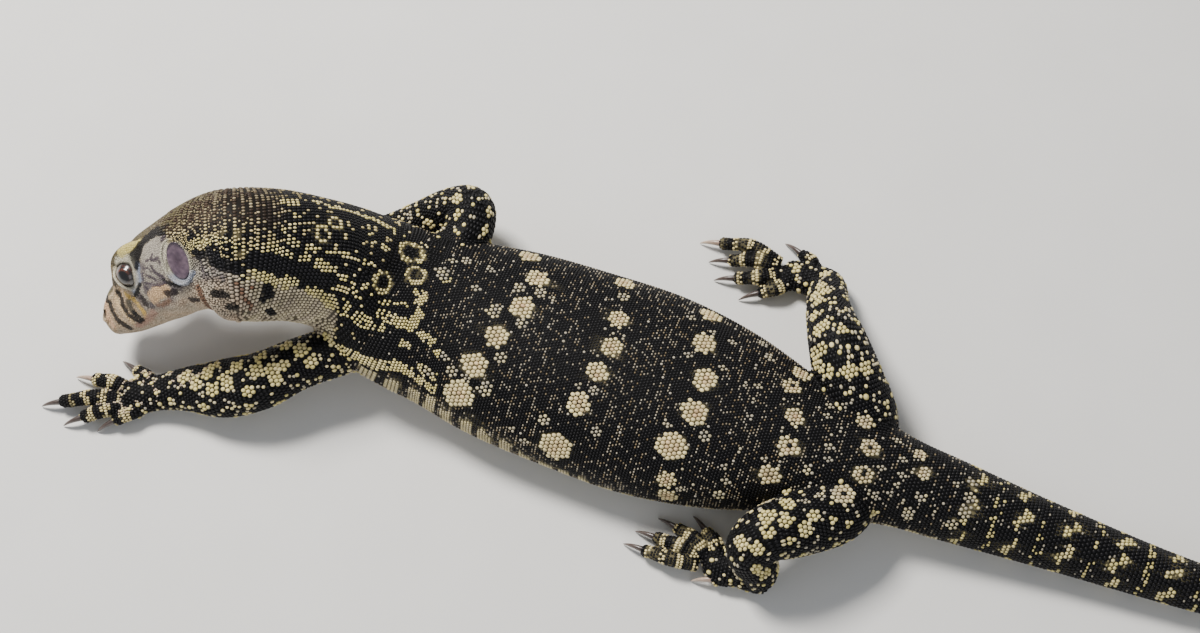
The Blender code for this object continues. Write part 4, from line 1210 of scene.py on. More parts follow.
def stretched(way, rows):
    """How much wider than on the spine the rings of scales lie, on a bend."""
    centre, _, left, up, *_ = way.at(rows[:, 3])
    offset = rows[:, :3] - centre
    aside = (offset * left).sum(1)[:, None]
    above = (offset * up).sum(1)[:, None]
    ends = []
    for step in (-0.5, 0.5):
        middle, _, left, up, *_ = way.at(np.clip(rows[:, 3] + step, 0.0, way.total))
        ends.append(middle + left * aside + up * above)
    return np.clip(np.linalg.norm(ends[1] - ends[0], axis=1), 0.9, 1.5)


def way_bed(ground, way, owner, start, end, across, lengthways, limit, tall=0.30):
    """Rows of scales round a way, landed on the skin."""
    rows = lattice(way, start, end, across, lengthways)
    _, along, *_ = way.at(rows[:, 3])
    roots, normals, good = ground.landed(rows[:, :3], limit)
    _, _, left, up = way.at(rows[:, 3])[:4]
    turn = np.radians(rows[:, 4])[:, None]
    outward = left * np.sin(turn) + up * np.cos(turn)
    good &= (normals * outward).sum(1) > 0.25
    angle = np.where(rows[:, 4] > 180, rows[:, 4] - 360, rows[:, 4])
    pitch = (rows[:, 5] + rows[:, 6]) / 2
    longer = rows[:, 6] * stretched(way, rows)
    sizes = np.column_stack((longer * 0.98, rows[:, 5] * 0.94, pitch * tall))
    scales = bed(roots, normals, along, sizes, pitch, owner, rows[:, 3], angle)
    return picked(scales, good)


def spot_bed(ground, number, centre, lead, wide, pitches, owner, place, angle):
    """A round group of large pale beads; "tint" holds their own colour."""
    _, normal, good = ground.landed(centre[None], 3.0)
    normal = normal[0]
    along = unit(lead - normal * (lead @ normal))
    side = np.cross(normal, along)
    long, across = pitches
    draw = np.random.default_rng(100 + number)
    reach = int(wide / across) + 2
    shift = draw.uniform(0, 0.5)
    spots = []
    for row in range(-reach, reach + 1):
        for column in range(-reach, reach + 1):
            x = (row + shift * 0.3) * long * 0.88
            y = (column + (0.5 if row % 2 else 0.0) + shift) * across
            turn = math.atan2(y, x)
            wobble = 0.03 * math.sin(3 * turn + number * 1.7)
            away = math.hypot(x / 1.06, y) / (wide / 2)
            if away < 0.94 + wobble:
                spots.append((x, y, away))
    if not spots:
        spots.append((0.0, 0.0, 0.0))
    spots = np.array(spots)
    spots[:, :2] += draw.normal(0, 0.05, (len(spots), 2))
    ideal = centre + along * spots[:, :1] + side * spots[:, 1:2]
    roots, normals, good = ground.landed(ideal, 3.0)
    count = len(spots)
    sizes = np.column_stack((
        np.full(count, long * 1.06), np.full(count, across * 1.04), np.full(count, 0.32)))
    sizes *= draw.uniform(0.94, 1.03, (count, 1))
    return spots, picked(bed(
        roots, normals, np.tile(along, (count, 1)), sizes, (long + across) / 2,
        owner, np.full(count, place) + spots[:, 0], np.full(count, float(angle)),
        np.full((count, 3), 0.5)), good), good


def ocellus_bed(ground):
    """Large pale beads in the ringed spots of the back."""
    beds = []
    for number, (place, angle, wide) in enumerate(OCELLI):
        centre = ground.hit(place, angle)
        lead = SPINE.at(place)[1][0]
        pitches = (1.36, 1.14) if wide > 5.5 else (1.18, 1.02)
        spots, item, good = spot_bed(
            ground, number, centre, lead, wide, pitches, 0, place, angle)
        away = spots[good, 2]
        draw = np.random.default_rng(300 + number)
        rose = np.clip(1.15 - away * 1.3, 0, 1) * draw.uniform(0.2, 0.75, len(away))
        tint = mix(CREAM, ROSE, rose)
        grey = soft_step(place + 0 * away, 195.0, 215.0) * draw.uniform(0.0, 0.5, len(away))
        tint = mix(tint, DULL, grey) * draw.uniform(0.85, 1.08, (len(away), 1))
        if number in RINGED:
            hole = np.argmin(np.abs(away - 0.12))
            gap = np.linalg.norm(item["root"] - item["root"][hole], axis=1)
            tint[gap < (0.95 if number > 25 else 0.5)] = BLACK
        item["tint"] = tint
        beds.append(item)
    return stacked(beds)


def cluster_bed(ground):
    """Small groups of dull pale beads between the ringed spots."""
    beds = []
    for number, (place, angle, radius) in enumerate(CLUSTERS):
        centre = ground.hit(place, angle)
        lead = SPINE.at(place)[1][0]
        pitch = 1.12 if radius > 1.3 else 0.98
        _, item, _ = spot_bed(
            ground, 400 + number, centre, lead, radius * 1.9, (pitch * 1.1, pitch), 0,
            place, angle)
        draw = np.random.default_rng(700 + number)
        count = len(item["root"])
        item["size"][:, :2] *= 0.88
        tint = mix(DULL, CREAM, draw.uniform(0.0, 0.8, count) * (0.5 + 0.5 * (radius > 1.4)))
        item["tint"] = tint * draw.uniform(0.75, 1.05, (count, 1))
        beds.append(item)
    return stacked(beds)


def limb_beds(ground):
    """Domed pale beads on the limbs: the mapped groups, then uneven ones."""
    beds = []
    taken = []
    draw = np.random.default_rng(SEED + 9)
    ways = {limb: limb_way(limb) for limb in LIMBS}
    spots = list(LIMB_SPOTS)
    for limb, way in ways.items():
        for _ in range(LIMB_TRIES):
            place = draw.uniform(8.0, way.total - 2.0)
            spots.append((limb, place, draw.uniform(-180, 180), draw.choice(LIMB_WIDTHS)))
    for number, (limb, place, angle, wide) in enumerate(spots):
        way = ways[limb]
        centre, along, left, up, width, *_ = (row[0] for row in way.at(place))
        turn = math.radians(angle)
        out = left * math.sin(turn) + up * math.cos(turn)
        root, _, good = ground.landed((centre + out * width)[None], 1.5)
        if not good[0]:
            continue
        centre = root[0]
        room = 0.5 * wide + 1.0 if wide < 2.0 else 0.5 * wide + 1.25
        if number >= len(LIMB_SPOTS) and any(
                np.linalg.norm(centre - spot) < room + reach for spot, reach in taken[-900:]):
            continue
        taken.append((centre, 0.5 * wide))
        pitches = (1.38, 1.2) if wide >= 2.0 else (wide, wide * 0.9)
        owner = 1 + list(LIMBS).index(limb)
        _, item, _ = spot_bed(
            ground, 1000 + number, centre, along, wide if wide >= 2.0 else 0.6, pitches,
            owner, place, angle)
        count = len(item["root"])
        item["size"][:, 2] = 0.42
        tint = mix(YELLOW, CREAM, draw.uniform(0.1, 0.9, count))
        item["tint"] = tint * draw.uniform(0.82, 1.06, (count, 1))
        beds.append(item)
    return stacked(beds)


def tree_of(points):
    tree = KDTree(len(points))
    for number, point in enumerate(points.tolist()):
        tree.insert(point, number)
    tree.balance()
    return tree


def thinned(scales, factors):
    """Drop each scale that stands on one earlier in the list."""
    count = len(scales["root"])
    tree = tree_of(scales["root"])
    pitch = scales["pitch"]
    normals = scales["normal"]
    alive = np.ones(count, bool)
    widest = pitch.max()
    roots = scales["root"].tolist()
    half = pitch * 0.5
    for number in range(count):
        if not alive[number]:
            continue
        reach = half[number] + widest * 0.5
        near = tree.find_range(roots[number], reach)
        for _, other, gap in near:
            if other > number and alive[other]:
                if gap < factors[other] * (half[number] + half[other]):
                    if normals[number] @ normals[other] > 0.1:
                        alive[other] = False
    return picked(scales, alive)


def coat(ground):
    """All scales, thinned so that none stands on another."""
    beds = [ocellus_bed(ground), cluster_bed(ground), limb_beds(ground)]
    special = sum(len(item["root"]) for item in beds)
    rows = way_bed(
        ground, SPINE, 0, COAT_START, SPINE.total - 0.6, trunk_pitch, row_pitch, 1.6)
    side = np.abs(rows["angle"])
    ear = np.minimum(*(np.linalg.norm(rows["root"] - ear_opening(turn), axis=1)
                       for turn in (1, -1)))
    start = COAT_START + 0.5 + 9.0 * soft_step(side, 60.0, 110.0)
    rows = picked(rows, (rows["place"] > start) & (ear > EAR_CLEAR))
    beds.append(rows)
    for number, limb in enumerate(LIMBS):
        way = limb_way(limb)
        beds.append(way_bed(
            ground, way, 1 + number, 3.0, way.total - 0.3, even_pitch(LIMB_PITCH[0]),
            lambda place: LIMB_PITCH[1], 0.7, 0.34))
        for index in range(len(DIGITS[limb])):
            way = digit_way(limb, index)
            beds.append(way_bed(
                ground, way, 10 + number * 5 + index, 1.5, way.total - 0.2,
                even_pitch(DIGIT_PITCH[0]), lambda place: DIGIT_PITCH[1], 0.5, 0.32))
    scales = stacked(beds)
    factors = np.full(len(scales["root"]), ROW_ROOM)
    factors[:special] = SPOT_ROOM
    scales = thinned(scales, factors)
    scales = head_fill(ground, scales)
    return fill(ground, scales, FILL_TRIES, FILL_ROOM, SEED + 1)


def head_pitch(points):
    """Scale spacing over the head: fine at the eyes and ears, coarser ahead."""
    back = (SNOUT_TIP - points) @ HEAD_FORWARD
    pitch = np.interp(
        back, (0.0, 8.0, 20.0, 34.0, 46.0, 56.0), (0.48, 0.52, 0.44, 0.47, 0.60, 0.80))
    for side in (1, -1):
        eye = np.linalg.norm(points - eye_opening(side), axis=1)
        ear = np.linalg.norm(points - ear_opening(side), axis=1)
        pitch = np.minimum(pitch, np.interp(eye, (3.0, 5.5, 7.5), (0.32, 0.38, 0.62)))
        pitch = np.minimum(pitch, np.interp(ear, (3.0, 6.0, 8.0), (0.38, 0.44, 0.80)))
    return pitch


def head_fill(ground, scales):
    """Small uneven scales all over the head and the front of the neck."""
    middles = ground.points[ground.triangles].mean(1)
    near = np.linalg.norm(middles - head_point(*HEAD_MIDDLE), axis=1)
    rows = np.where(near < 60.0)[0]
    place, _ = spine_places(middles[rows])
    weights = np.zeros(len(middles))
    off = np.linalg.norm(middles[rows] - SPINE.at(place)[0], axis=1)
    weights[rows] = (place < 47.5) & (off < 24.0)
    # None grow in the eye sockets or the ear cups
    for side in (1, -1):
        eye = np.linalg.norm(middles - eye_centre(side), axis=1)
        weights[eye < EYE_RADIUS + 0.35] = 0
        inner = (middles - ear_opening(side)) @ ear_frame(side).T
        deep = np.hypot(inner[:, 0] / EAR_HALF[0], inner[:, 1] / EAR_HALF[1]) < 1.0
        weights[deep & (inner[:, 2] < 0.1) & (inner[:, 2] > -4.0)] = 0
    weights *= 1 / head_pitch(middles) ** 2
    roots, normals = ground.scattered(HEAD_TRIES, SEED + 2, weights)
    return grown(scales, roots, normals, head_pitch(roots), HEAD_ROOM)


def fill(ground, scales, count, factor, seed):
    """Scales for the patches that the rows left bare."""
    roots, normals = ground.scattered(count, seed)
    tree = tree_of(scales["root"])
    nearest = np.empty(len(roots), int)
    gap = np.empty(len(roots))
    for number, point in enumerate(roots.tolist()):
        _, nearest[number], gap[number] = tree.find(point)
    pitch = np.minimum(scales["pitch"][nearest], 1.15)
    keep = gap > pitch * factor * 0.75
    return grown(
        scales, roots[keep], normals[keep], pitch[keep] * 0.9, factor, nearest[keep])


def grown(scales, roots, normals, pitch, factor, nearest=None):
    """Scales added at random places, wherever there is still room."""
    if nearest is None:
        place, angle = spine_places(roots)
        owner = np.zeros(len(roots), int)
        along = SPINE.at(place)[1]
    else:
        place = scales["place"][nearest]
        angle = scales["angle"][nearest]
        owner = scales["owner"][nearest]
        along = scales["along"][nearest]
    broad, deep = (1.30, 0.14) if nearest is None else (1.0, 0.28)
    sizes = np.column_stack((pitch * broad, pitch * broad * 0.92, pitch * deep))
    extra = bed(roots, normals, along, sizes, pitch, 0, place, angle)
    extra["owner"] = owner
    first = len(scales["root"])
    both = stacked([scales, extra])
    factors = np.full(len(both["root"]), factor)
    factors[:first] = 0.0
    return thinned(both, factors)


# Colours


def distance(points, path):
    """How far points are from a path."""
    least = np.full(len(points), 1e9)
    if len(path) == 1:
        return np.linalg.norm(points - path[0], axis=1)
    for first, second in zip(path[:-1], path[1:]):
        run = second - first
        share = np.clip((points - first) @ run / max(run @ run, 1e-9), 0, 1)
        away = points - first - share[:, None] * run
        least = np.minimum(least, np.linalg.norm(away, axis=1))
    return least


def on_skin(ground, path, mirror=1):
    """A path given as places and angles, as points on the skin."""
    path = np.array(path, float)
    fine = [path[0]]
    for first, second in zip(path[:-1], path[1:]):
        steps = int(max(abs(second[0] - first[0]) / 1.5, abs(second[1] - first[1]) / 6.0)) + 1
        fine += [first + (second - first) * step / steps for step in range(1, steps + 1)]
    return np.array([ground.hit(place, angle * mirror) for place, angle in fine])


def line_share(ground, points, line, turn, ragged=0.0):
    """How much of a painted line's colour points have, on one side."""
    _, width, softness, path = line
    away = distance(points, on_skin(ground, path, turn)) + ragged * min(width, 1.0)
    return 1 - soft_step(away, width - softness / 2, width + softness / 2)


def head_colour(ground, points, place, angle):
    """Olive crown, pale brow, barred snout, mottled cheek and cream throat."""
    side = np.abs(angle)
    grain = waves(points, 1.6, 31)
    cloud = waves(points, 4.5, 32)
    streak = waves(points, 2.6, 33)
    speck = waves(points, 0.9, 35, 14)
    top = mix(OLIVE * 0.42, TAN * 0.34, grain * 0.7)
    top = mix(top, mix(NAPE * 0.5, BROWN * 0.6, soft_step(speck, 0.30, 0.58)),
              soft_step(place, *CROWN_SPECKS))
    cheek = mix(CHEEK, PALE, cloud * 0.4)
    cheek = mix(cheek, MAUVE, soft_step(streak, 0.46, 0.68) * 0.70)
    cheek = mix(cheek, MAUVE, soft_step(speck, 0.56, 0.74) * 0.50)
    snout = mix(ORANGE, PALE, grain * 0.7)
    snout = mix(snout, SNOUTOLIVE, soft_step(speck, 0.62, 0.80) * 0.35)
    throat = mix(THROAT, PEACH, cloud * 0.3)
    throat = mix(throat, BROWN, soft_step(speck, 0.60, 0.80) * 0.35)
    colour = mix(top, cheek, soft_step(side, *CROWN_SIDE))
    ahead = 1 - soft_step(place, *SNOUT_END)
    colour = mix(colour, snout, ahead * soft_step(side, *SNOUT_SIDE))
    bridge = ahead * (1 - soft_step(side, *BRIDGE_SIDE))
    colour = mix(colour, mix(SNOUTOLIVE, OLIVE, grain), bridge)
    colour = mix(colour, throat, soft_step(side, *THROAT_SIDE))
    ragged = 0.55 * (waves(points, 1.1, 34) - 0.5)
    for line in HEAD_LINES:
        for turn in (1, -1):
            share = line_share(ground, points, line, turn, ragged)
            colour = mix(colour, line[0], share * 0.93)
    for turn in (1, -1):
        away = (points - ear_opening(turn)) @ ear_frame(turn).T
        oval = np.hypot(away[:, 0] / EAR_RIM[0], away[:, 1] / EAR_RIM[1])
        rim = (1 - soft_step(np.abs(oval - 0.98), 0.10, 0.20)) * (np.abs(away[:, 2]) < 4.0)
        nose = np.linalg.norm(points - nostril_place(turn), axis=1)
        # Painted shade: the nostril's opening and its edge are inked dark
        colour = mix(colour, INK, (1 - soft_step(nose, *NOSTRIL_SHADE)) * 0.85)
        blue = soft_step(-away[:, 1], 2.0, 4.0)
        colour = mix(colour, mix(LIDPALE, GRANULE, blue * 0.8), rim * (0.65 + 0.3 * grain))
        eye = np.linalg.norm(points - eye_centre(turn), axis=1)
        colour = mix(colour, LIDPALE, (1 - soft_step(eye, *LID_PALE)) * 0.55)
    return colour


def neck_colour(points, place, angle, dice):
    """Pale beads on black, thinning backward; browner toward the head."""
    side = np.abs(angle)
    patch = waves(points, 5.5, 41)
    chance = np.interp(place, *NECK_BEADS)
    chance = chance + (patch - 0.5) * np.interp(place, (42.0, 56.0), (0.25, 0.9))
    chance = chance - 0.16 * (1 - soft_step(side, 46.0, 62.0))
    pale = dice < np.minimum(chance, 0.96)
    near = mix(NAPE, NAPEDULL, waves(points, 3.0, 42) * 0.9)
    yellow = mix(near, STRAW, soft_step(side, 40.0, 62.0) * 0.85)
    bead = mix(yellow, STRAW, soft_step(place, 50.0, 66.0))
    bead = bead * (0.66 + 0.5 * np.mod(dice * 37.0, 1.0))[:, None]
    middle = (1 - soft_step(side, 8.0, 40.0)) * (1 - soft_step(place, 60.0, 80.0))
    bead = bead * (1 - 0.45 * middle)[:, None]
    crown = (1 - soft_step(place, 41.0, 50.0)) * (1 - soft_step(side, 38.0, 54.0))
    bead = mix(bead, OLIVE * 0.55, crown * 0.85)
    brown = (1 - soft_step(place, 44.0, 60.0)) * (1 - soft_step(side, 40.0, 62.0))
    dark = mix(BLACK, BROWN * 0.6, brown)
    return np.where(pale[:, None], bead, dark)


def neck_marks(ground, points, colour, place, angle, dice):
    """Lines, rings and dark bands of the neck and shoulder."""
    tone = (0.8 + 0.35 * np.mod(dice * 53.0, 1.0))[:, None]
    cream = mix(YELLOW, CREAM, np.mod(dice * 17.0, 1.0)) * tone
    side = np.abs(angle)
    throat = mix(THROAT, BELLY, waves(points, 4.0, 43)) * tone
    edge = np.interp(place, *THROAT_EDGE)
    colour = mix(colour, throat, soft_step(side - edge, -1.5, 2.5))
    # Painted shade: fine stripes across the throat, darker where its folds lie
    fold = 0.4 + 0.6 * soft_step(np.sin(place * 2 * math.pi / 2.4), -0.6, 0.4)
    low = soft_step(side - edge, 2.0, 8.0) * (1 - soft_step(place, 60.0, 68.0))
    colour = mix(colour, colour * fold[:, None], low * 0.35)
    for line in HEAD_LINES:
        if line[3][0][0] > 43.0 or line[0] is RUST:
            for turn in (1, -1):
                colour = mix(colour, line[0], line_share(ground, points, line, turn))
    for width, path in PALE_LINES:
        near = distance(points, on_skin(ground, path))
        width = width * (1.3 if width > 0.7 else 1.1)
        chance = 1 - soft_step(near, width, width + 0.35)
        hit = (chance > 0.5) & (dice < 0.93)
        halo = (near < width + 1.3) & ~hit & (place > 56.0) & (side < 88.0)
        colour[halo & (np.mod(dice * 29.0, 1.0) < 0.8)] = BLACK
        colour[hit] = cream[hit]
    for centre_place, centre_angle, radius, width in PALE_RINGS:
        centre = ground.hit(centre_place, centre_angle)
        away = np.linalg.norm(points - centre, axis=1)
        hit = np.abs(away - radius) < width
        colour[(away < radius + width + 1.0) & ~hit] = BLACK
        colour[hit] = cream[hit]
    return colour


def trunk_colour(points, place, angle, dice):
    """Black with dull flecks in streaks across, pale scales and painted glints; a cream belly
    with bars.
    """
    side = np.abs(angle)
    lean = np.column_stack((points[:, 0] / 1.3, points[:, 1] / 5.0, points[:, 2] / 5.0))
    fleck_and_glint = waves(lean, 1.0, 51, 12)
    cloud = waves(points, 13.0, 53)
    flank = soft_step(side, 50.0, 85.0)
    row = np.min([np.abs(place - start) for start in SPOT_ROWS], axis=0)
    between_rows = soft_step(row, 2.5, 7.5)
    # Pale flecks: partly pale scales, partly painted glints of light on the black scales
    chance = (0.10 + 0.20 * between_rows + 0.14 * (cloud - 0.5) + 0.16 * flank
              + 0.55 * (fleck_and_glint - 0.5))
    pale = dice < np.minimum(chance, 0.9)
    tone = mix(TAN * 0.5, DULL, np.mod(dice * 91.0, 1.0)) * (0.6 + 0.6 * fleck_and_glint)[:, None]
    colour = np.where(pale[:, None], tone, BLACK)
    turn = place * (2 * math.pi / BELLY_BAR)
    bars = 0.5 + 0.5 * np.cos(turn + 1.2 * waves(points, 9.0, 55))
    start = np.interp(place, *BELLY_EDGE)
    start = np.where(angle > 0, start, np.maximum(start, 92.0))
    edge = side - start + 9 * (waves(points, 6.0, 52) - 0.5)
    low = soft_step(edge, -1.0, 4.0) * (1 - soft_step(bars, 0.62, 0.74) * (
        1 - soft_step(side, 120.0, 148.0)))
    return mix(colour, mix(BELLY, CREAM, dice) * 0.9, low)


def tail_colour(points, place, angle, dice):
    """Black with rings of pale spots, growing to bands toward the tip."""
    side = np.abs(angle)
    steps = np.arange(230.0, 600.0)
    phase = np.cumsum(1 / np.interp(steps, *TAIL_RINGS))
    turn = np.interp(place, steps, phase)
    wander = 0.10 * (waves(points, 9.0, 54) - 0.5)
    ring = 0.5 + 0.5 * np.cos((turn + wander) * 2 * math.pi)
    thin = 0.5 + 0.5 * np.cos((turn + wander + 0.5) * 2 * math.pi)
    spotty = 0.5 + 0.5 * np.cos(np.radians(angle) * 7 + np.floor(turn) * 2.1)
    whole = soft_step(place, 300.0, 400.0)
    share = ring * (0.52 + 0.48 * np.maximum(spotty, whole)) + 0.12 * (dice - 0.5)
    yellow = soft_step(share, 0.74, 0.80)
    dotted = (thin > 0.93) & (dice < 0.45)
    tone = mix(YELLOW, CREAM, dice) * (0.8 + 0.25 * np.mod(dice * 31.0, 1.0))[:, None]
    colour = mix(BLACK, tone, yellow)
    colour[dotted] = (tone * 0.8)[dotted]
    colour[(dice > 0.94) & (yellow < 0.5)] = DULL * 0.7
    low = soft_step(side, 118.0, 135.0)
    belly = mix(BELLY, BLACK, soft_step(ring, 0.2, 0.05))
    return mix(colour, belly, low)


def limb_colour(points, place, angle, owner, dice):
    """Black with small white dots; banded digits and a pale underside."""
    dots = dice < 0.15 + 0.20 * (waves(points, 3.0, 61) - 0.5)
    tone = mix(DULL, CREAM, np.mod(dice * 71.0, 1.0))
    colour = np.where(dots[:, None], tone, BLACK)
    low = soft_step(np.abs(angle) + 12 * (waves(points, 4.0, 62) - 0.5), *LIMB_UNDER)
    colour = mix(colour, mix(BELLY, DULL, dice * 0.5), low * (owner > 0))
    digit = owner >= 10
    band = 0.5 + 0.5 * np.cos(place * 2 * math.pi / DIGIT_BAND + owner * 1.3)
    patch = soft_step(band + 0.45 * (waves(points, 2.4, 63) - 0.5), 0.62, 0.74)
    total = np.where(owner < 15, *DIGIT_TOTAL)
    tip = soft_step(place / total, 0.62, 0.75)
    banded = mix(BLACK, mix(STRAW, CREAM, dice), patch * (1 - tip))
    return np.where(digit[:, None], banded, colour)


def painted(ground, points, owner, place, angle, dice):
    """The animal's colour at points of the skin."""
    colour = limb_colour(points, place, angle, owner, dice)
    spine = owner == 0
    near = np.where(spine & (place < NECK_REACH))[0]
    ragged = place + 3.0 * (waves(points, 4.0, 71) - 0.5)
    body = np.where(
        (place < TAIL_START)[:, None], trunk_colour(points, place, angle, dice),
        tail_colour(points, place, angle, dice))
    part = [column[near] for column in (points, place, angle, dice)]
    neck = neck_colour(*part)
    neck = mix(neck, body[near], (ragged[near] > NECK_END) * 1.0)
    neck = neck_marks(ground, part[0], neck, *part[1:])
    head = head_colour(ground, *part[:3])
    side = np.abs(part[2])
    start = np.interp(side, *HEAD_EDGE)
    share = soft_step(ragged[near], start - 1.2, start + 1.2)
    body[near] = mix(head, neck, share)
    colour[spine] = body[spine]
    return colour


# Meshes of scales


def dome(sides):
    """A scale's unit shape: corners as (x, y, z), and triangles. The first ring
    lies below the skin."""
    turn = 2 * np.pi * (np.arange(sides) + 0.5) / sides
    out = np.column_stack((np.cos(turn), np.sin(turn)))
    low = np.column_stack((out * 1.04, np.full(sides, -1.0)))
    high = np.column_stack((out * 0.74, np.full(sides, 0.72)))
    corners = np.concatenate((low, high, [(0.0, 0.0, 1.0)]))
    step = np.arange(sides)
    after = (step + 1) % sides
    sheet = [np.stack((step, after, sides + after), 1),
             np.stack((step, sides + after, sides + step), 1),
             np.stack((sides + step, sides + after, np.full(sides, 2 * sides)), 1)]
    floor = np.stack((np.zeros(sides - 2, int), step[2:], step[1:-1]), 1)
    return corners, np.concatenate(sheet + [floor])


def mesh_from(name, points, triangles):
    """A mesh from arrays; points in mm."""
    mesh = bpy.data.meshes.new(name)
    mesh.vertices.add(len(points))
    mesh.vertices.foreach_set("co", (points * MM).astype(np.float32).ravel())
    mesh.loops.add(len(triangles) * 3)
    mesh.loops.foreach_set("vertex_index", triangles.astype(np.int32).ravel())
    mesh.polygons.add(len(triangles))
    starts = np.arange(len(triangles), dtype=np.int32) * 3
    mesh.polygons.foreach_set("loop_start", starts)
    mesh.update(calc_edges=True)
    mesh.validate()
    mesh.shade_smooth()
    item = bpy.data.objects.new(name, mesh)
    bpy.context.scene.collection.objects.link(item)
    return item


def set_colours(mesh, colours):
    layer = mesh.color_attributes.new("tint", "FLOAT_COLOR", "POINT")
    values = np.concatenate((colours, np.ones((len(colours), 1))), 1)
    layer.data.foreach_set("color", values.astype(np.float32).ravel())


def scale_piece(name, scales, colours, spread):
    """One mesh of scales; spread gives each root's place in the bake map."""
    points = []
    triangles = []
    tints = []
    flats = []
    base = 0
    wide = scales["size"][:, 1]
    for sides, chosen in ((8, wide >= ROUND_FROM), (6, wide < ROUND_FROM)):
        rows = np.where(chosen)[0]
        if not len(rows):
            continue
        corners, faces = dome(sides)
        root = scales["root"][rows][:, None]
        normal = scales["normal"][rows][:, None]
        along = scales["along"][rows][:, None]
        across = np.cross(normal, along)
        size = scales["size"][rows][:, None] * np.array((0.5, 0.5, 1.0))
        rise = np.where(corners[:, 2] < 0, -SCALE_SINK, corners[:, 2] * size[:, :, 2])
        made = (root + along * (corners[:, 0] * size[:, :, 0])[..., None]
                + across * (corners[:, 1] * size[:, :, 1])[..., None]
                + normal * rise[..., None])
        made[..., 2] = np.maximum(made[..., 2], SCALE_FLOOR)
        # Painted shade and highlight: each scale is darker toward its lower edge, partly for the
        # dark skin round it and partly as painted shade, and lighter on its top as a painted
        # highlight
        fine = soft_step(scales["pitch"][rows], 0.6, 0.9)[:, None]
        edge = 0.62 - 0.34 * fine
        shade = np.where(corners[:, 2] < 0, edge, np.where(corners[:, 2] < 0.9, 0.93, 1.06))
        tint = colours[rows][:, None] * shade[..., None]
        flat = spread[rows][:, None] + corners[None, :, :2] * MAP_PATCH
        points.append(made.reshape(-1, 3))
        tints.append(tint.reshape(-1, 3))
        flats.append(flat.reshape(-1, 2))
        shift = base + np.arange(len(rows)) * len(corners)
        triangles.append((faces[None] + shift[:, None, None]).reshape(-1, 3))
        base += len(rows) * len(corners)
    triangles = np.concatenate(triangles)
    item = mesh_from(name, np.concatenate(points), triangles)
    set_colours(item.data, np.concatenate(tints))
    layer = item.data.uv_layers.new(name="OFBake")
    flats = np.concatenate(flats)[triangles.ravel()]
    layer.data.foreach_set("uv", flats.astype(np.float32).ravel())
    return item


def unwrapped(scales):
    """Each root's place on an unwrap of its own part, from 0.01 to 0.99."""
    place = scales["place"]
    angle = np.mod(scales["angle"], 360.0) / 360.0
    low, high = place.min(), place.max()
    across = 0.01 + 0.98 * angle
    along = 0.01 + 0.98 * (place - low) / max(high - low, 1e-6)
    return np.column_stack((across, along))


# Materials


def node_material(name):
    material = bpy.data.materials.new(name)
    material.use_nodes = True
    nodes = material.node_tree.nodes
    return material, nodes, material.node_tree.links, nodes["Principled BSDF"]


def noise(nodes, links, scale):
    made = nodes.new("ShaderNodeTexNoise")
    made.inputs["Scale"].default_value = scale
    made.inputs["Detail"].default_value = 4.0
    where = nodes.new("ShaderNodeTexCoord").outputs["Object"]
    links.new(where, made.inputs["Vector"])
    return made.outputs["Fac"]


def ramp(nodes, links, value, low, high):
    """A noise value spread from low to high."""
    made = nodes.new("ShaderNodeMapRange")
    made.inputs["From Min"].default_value = 0.3
    made.inputs["From Max"].default_value = 0.7
    made.inputs["To Min"].default_value = low
    made.inputs["To Max"].default_value = high
    links.new(value, made.inputs["Value"])
    return made.outputs["Result"]


def bump(nodes, links, shader, value, strength, distance):
    made = nodes.new("ShaderNodeBump")
    made.inputs["Strength"].default_value = strength
    made.inputs["Distance"].default_value = distance
    links.new(value, made.inputs["Height"])
    links.new(made.outputs["Normal"], shader.inputs["Normal"])


def tinted(name, roughness, coat_weight, grain, fine, specular):
    """A material that takes its colour from the mesh's own tint."""
    material, nodes, links, shader = node_material(name)
    tint = nodes.new("ShaderNodeVertexColor")
    tint.layer_name = "tint"
    value = noise(nodes, links, fine)
    strength = ramp(nodes, links, value, 1 - grain, 1 + grain)
    scaled = nodes.new("ShaderNodeVectorMath")
    scaled.operation = "SCALE"
    links.new(tint.outputs["Color"], scaled.inputs[0])
    links.new(strength, scaled.inputs["Scale"])
    links.new(scaled.outputs["Vector"], shader.inputs["Base Color"])
    rough = ramp(nodes, links, noise(nodes, links, 900.0), roughness - 0.1, roughness + 0.12)
    links.new(rough, shader.inputs["Roughness"])
    shader.inputs["Coat Weight"].default_value = coat_weight
    shader.inputs["Coat Roughness"].default_value = 0.25
    shader.inputs["Specular IOR Level"].default_value = specular
    bump(nodes, links, shader, value, 0.25, 0.0001)
    return material


# Eyes, eardrums and claws


